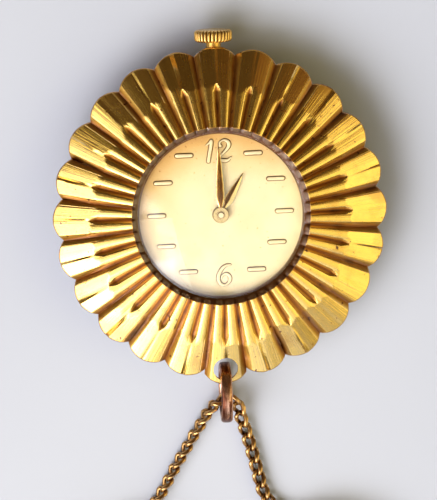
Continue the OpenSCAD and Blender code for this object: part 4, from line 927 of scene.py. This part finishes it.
# Nickel plate with broad straight stripes, ground in arcs that catch the light on one side; that side of
# each stripe is also painted lighter in the colour, a painted highlight.
striped_nickel, tree = new_material("striped_nickel")
place = add_node(tree, "ShaderNodeTexCoord").outputs["Object"]
band = add_node(tree, "ShaderNodeTexWave", {"Vector": place, "Scale": math.pi / (10 * stripe_pitch * MM),
                                            "Distortion": 0.4, "Detail": 1.0, "Detail Scale": 4.0},
                wave_profile="SAW")
fine = add_node(tree, "ShaderNodeTexNoise", {"Vector": place, "Scale": 5000.0, "Detail": 2.0})
# Painted highlight: the same wave makes one side of each stripe lighter.
tint = colour_ramp(tree, band.outputs["Fac"], [(0.0, "#a9a59c"), (0.6, "#c9c5bb"), (1.0, "#dcd8ce")])
cut = add_node(tree, "ShaderNodeBump", {
    "Height": band.outputs["Fac"], "Strength": 0.35, "Distance": 0.04 * MM})
grit = add_node(tree, "ShaderNodeBump", {
    "Height": fine.outputs["Fac"], "Strength": 0.1, "Distance": 0.01 * MM, "Normal": cut.outputs["Normal"]})
surface(tree, Base_Color=tint, Metallic=1.0, Roughness=0.3, Normal=grit.outputs["Normal"])
finish(striped_nickel, "movement_ring", "main_plate", "barrel_bridge", "train_bridge", "balance_cock",
       "pallet_bridge")

# Synthetic ruby, pressed in: deep red, clear and glossy, a little cloudy inside.
ruby, tree = new_material("synthetic_ruby")
place = add_node(tree, "ShaderNodeTexCoord").outputs["Object"]
cloud = add_node(tree, "ShaderNodeTexNoise", {"Vector": place, "Scale": 1400.0, "Detail": 2.0})
tint = colour_ramp(tree, cloud.outputs["Fac"], [(0.3, "#8c1029"), (0.7, "#d12a4b")])
surface(tree, Base_Color=tint, Roughness=0.06, IOR=1.76)
finish(ruby, "plate_jewels", "bridge_jewels")

# ------------------------------------------------------------------ wheels and mainspring barrel
# Brass wheels stamped and cut with their teeth, and the drum that holds the mainspring. They run on
# steel pivots between the plate and the bridges.

# Yellow brass, fine-grained on its flat faces, slightly darkened by age.
wheel_brass, tree = new_material("grained_brass")
place = add_node(tree, "ShaderNodeTexCoord").outputs["Object"]
brushed = add_node(tree, "ShaderNodeMapping", {"Vector": place, "Scale": (1.0, 14.0, 1.0)})
grain = add_node(tree, "ShaderNodeTexNoise", {"Vector": brushed.outputs[0], "Scale": 900.0, "Detail": 4.0})
tint = colour_ramp(tree, grain.outputs["Fac"], [(0.3, "#b58f45"), (0.6, "#d8b565"), (0.8, "#e6c87e")])
dull = add_node(tree, "ShaderNodeMapRange", {"Value": grain.outputs["Fac"], "To Min": 0.2, "To Max": 0.42})
surface(tree, Base_Color=tint, Metallic=1.0, Roughness=dull.outputs[0])
finish(wheel_brass, "mainspring_barrel", "barrel_cover", "third_wheel", "fourth_wheel",
       "minute_wheel", "hour_wheel", "setting_wheel")

# Gilt brass of the balance, brighter than the train's wheels and polished all over.
balance_gilt, tree = new_material("balance_gilt")
place = add_node(tree, "ShaderNodeTexCoord").outputs["Object"]
haze = add_node(tree, "ShaderNodeTexNoise", {"Vector": place, "Scale": 800.0, "Detail": 3.0})
tint = colour_ramp(tree, haze.outputs["Fac"], [(0.35, "#d3a24b"), (0.65, "#f0cb78")])
surface(tree, Base_Color=tint, Metallic=1.0, Roughness=0.18)
finish(balance_gilt, "balance_wheel")

# ------------------------------------------------------------------ steel work
# Hardened and polished steel: arbors, levers, the winding wheels and the escapement. Screws and
# springs are tempered in hot air until they turn blue.

# Polished steel with a fine straight grain left by the last stone.
polished_steel, tree = new_material("polished_steel")
place = add_node(tree, "ShaderNodeTexCoord").outputs["Object"]
brushed = add_node(tree, "ShaderNodeMapping", {"Vector": place, "Scale": (20.0, 1.0, 1.0)})
grain = add_node(tree, "ShaderNodeTexNoise", {"Vector": brushed.outputs[0], "Scale": 700.0, "Detail": 4.0})
tint = colour_ramp(tree, grain.outputs["Fac"], [(0.3, "#8f9296"), (0.7, "#bfc2c4")])
dull = add_node(tree, "ShaderNodeMapRange", {"Value": grain.outputs["Fac"], "To Min": 0.14, "To Max": 0.34})
surface(tree, Base_Color=tint, Metallic=1.0, Roughness=dull.outputs[0])
finish(polished_steel, "barrel_arbor", "ratchet_wheel", "crown_wheel", "click", "click_spring",
       "escape_wheel", "pallet_fork", "balance_staff", "hairspring_stud", "stem", "winding_pinion",
       "clutch_wheel", "setting_lever", "yoke", "setting_jumper")

# Heat-blued steel: an oxide film that runs from cornflower to violet where the heat was uneven.
blued_steel, tree = new_material("blued_steel")
place = add_node(tree, "ShaderNodeTexCoord").outputs["Object"]
heat = add_node(tree, "ShaderNodeTexNoise", {"Vector": place, "Scale": 380.0, "Detail": 2.0})
tint = colour_ramp(tree, heat.outputs["Fac"], [(0.3, "#1b2a6b"), (0.55, "#2d4fa8"), (0.75, "#4a3a8c")])
surface(tree, Base_Color=tint, Metallic=1.0, Roughness=0.2)
finish(blued_steel, "bridge_screws", "mainspring", "hairspring", "ratchet_screw", "crown_wheel_screw")

# Gilt arbor and cannon pinion, the hub of the hands: bright, with a dark ring where the arbor ends.
hub_gilt, tree = new_material("hub_gilt")
place = add_node(tree, "ShaderNodeTexCoord").outputs["Object"]
flat = add_node(tree, "ShaderNodeVectorMath", {0: place, 1: (1, 1, 0)}, operation="MULTIPLY")
away = add_node(tree, "ShaderNodeVectorMath", {0: flat.outputs[0]}, operation="LENGTH")
haze = add_node(tree, "ShaderNodeTexNoise", {"Vector": place, "Scale": 1200.0, "Detail": 3.0})
reach = add_node(tree, "ShaderNodeMapRange", {
    "Value": away.outputs["Value"], "To Max": 1.0, "From Max": 0.5 * MM})
soft = add_node(tree, "ShaderNodeMath", {0: haze.outputs["Fac"], 1: 0.08, 2: reach.outputs[0]},
                operation="MULTIPLY_ADD")
tint = colour_ramp(tree, soft.outputs[0], [(0.62, "#fff3d6"), (0.66, "#5a3516"), (0.8, "#5a3516"),
                                           (0.88, "#f9e6b4")])
surface(tree, Base_Color=tint, Metallic=0.6, Roughness=0.24)
finish(hub_gilt, "cannon_pinion", "centre_wheel")
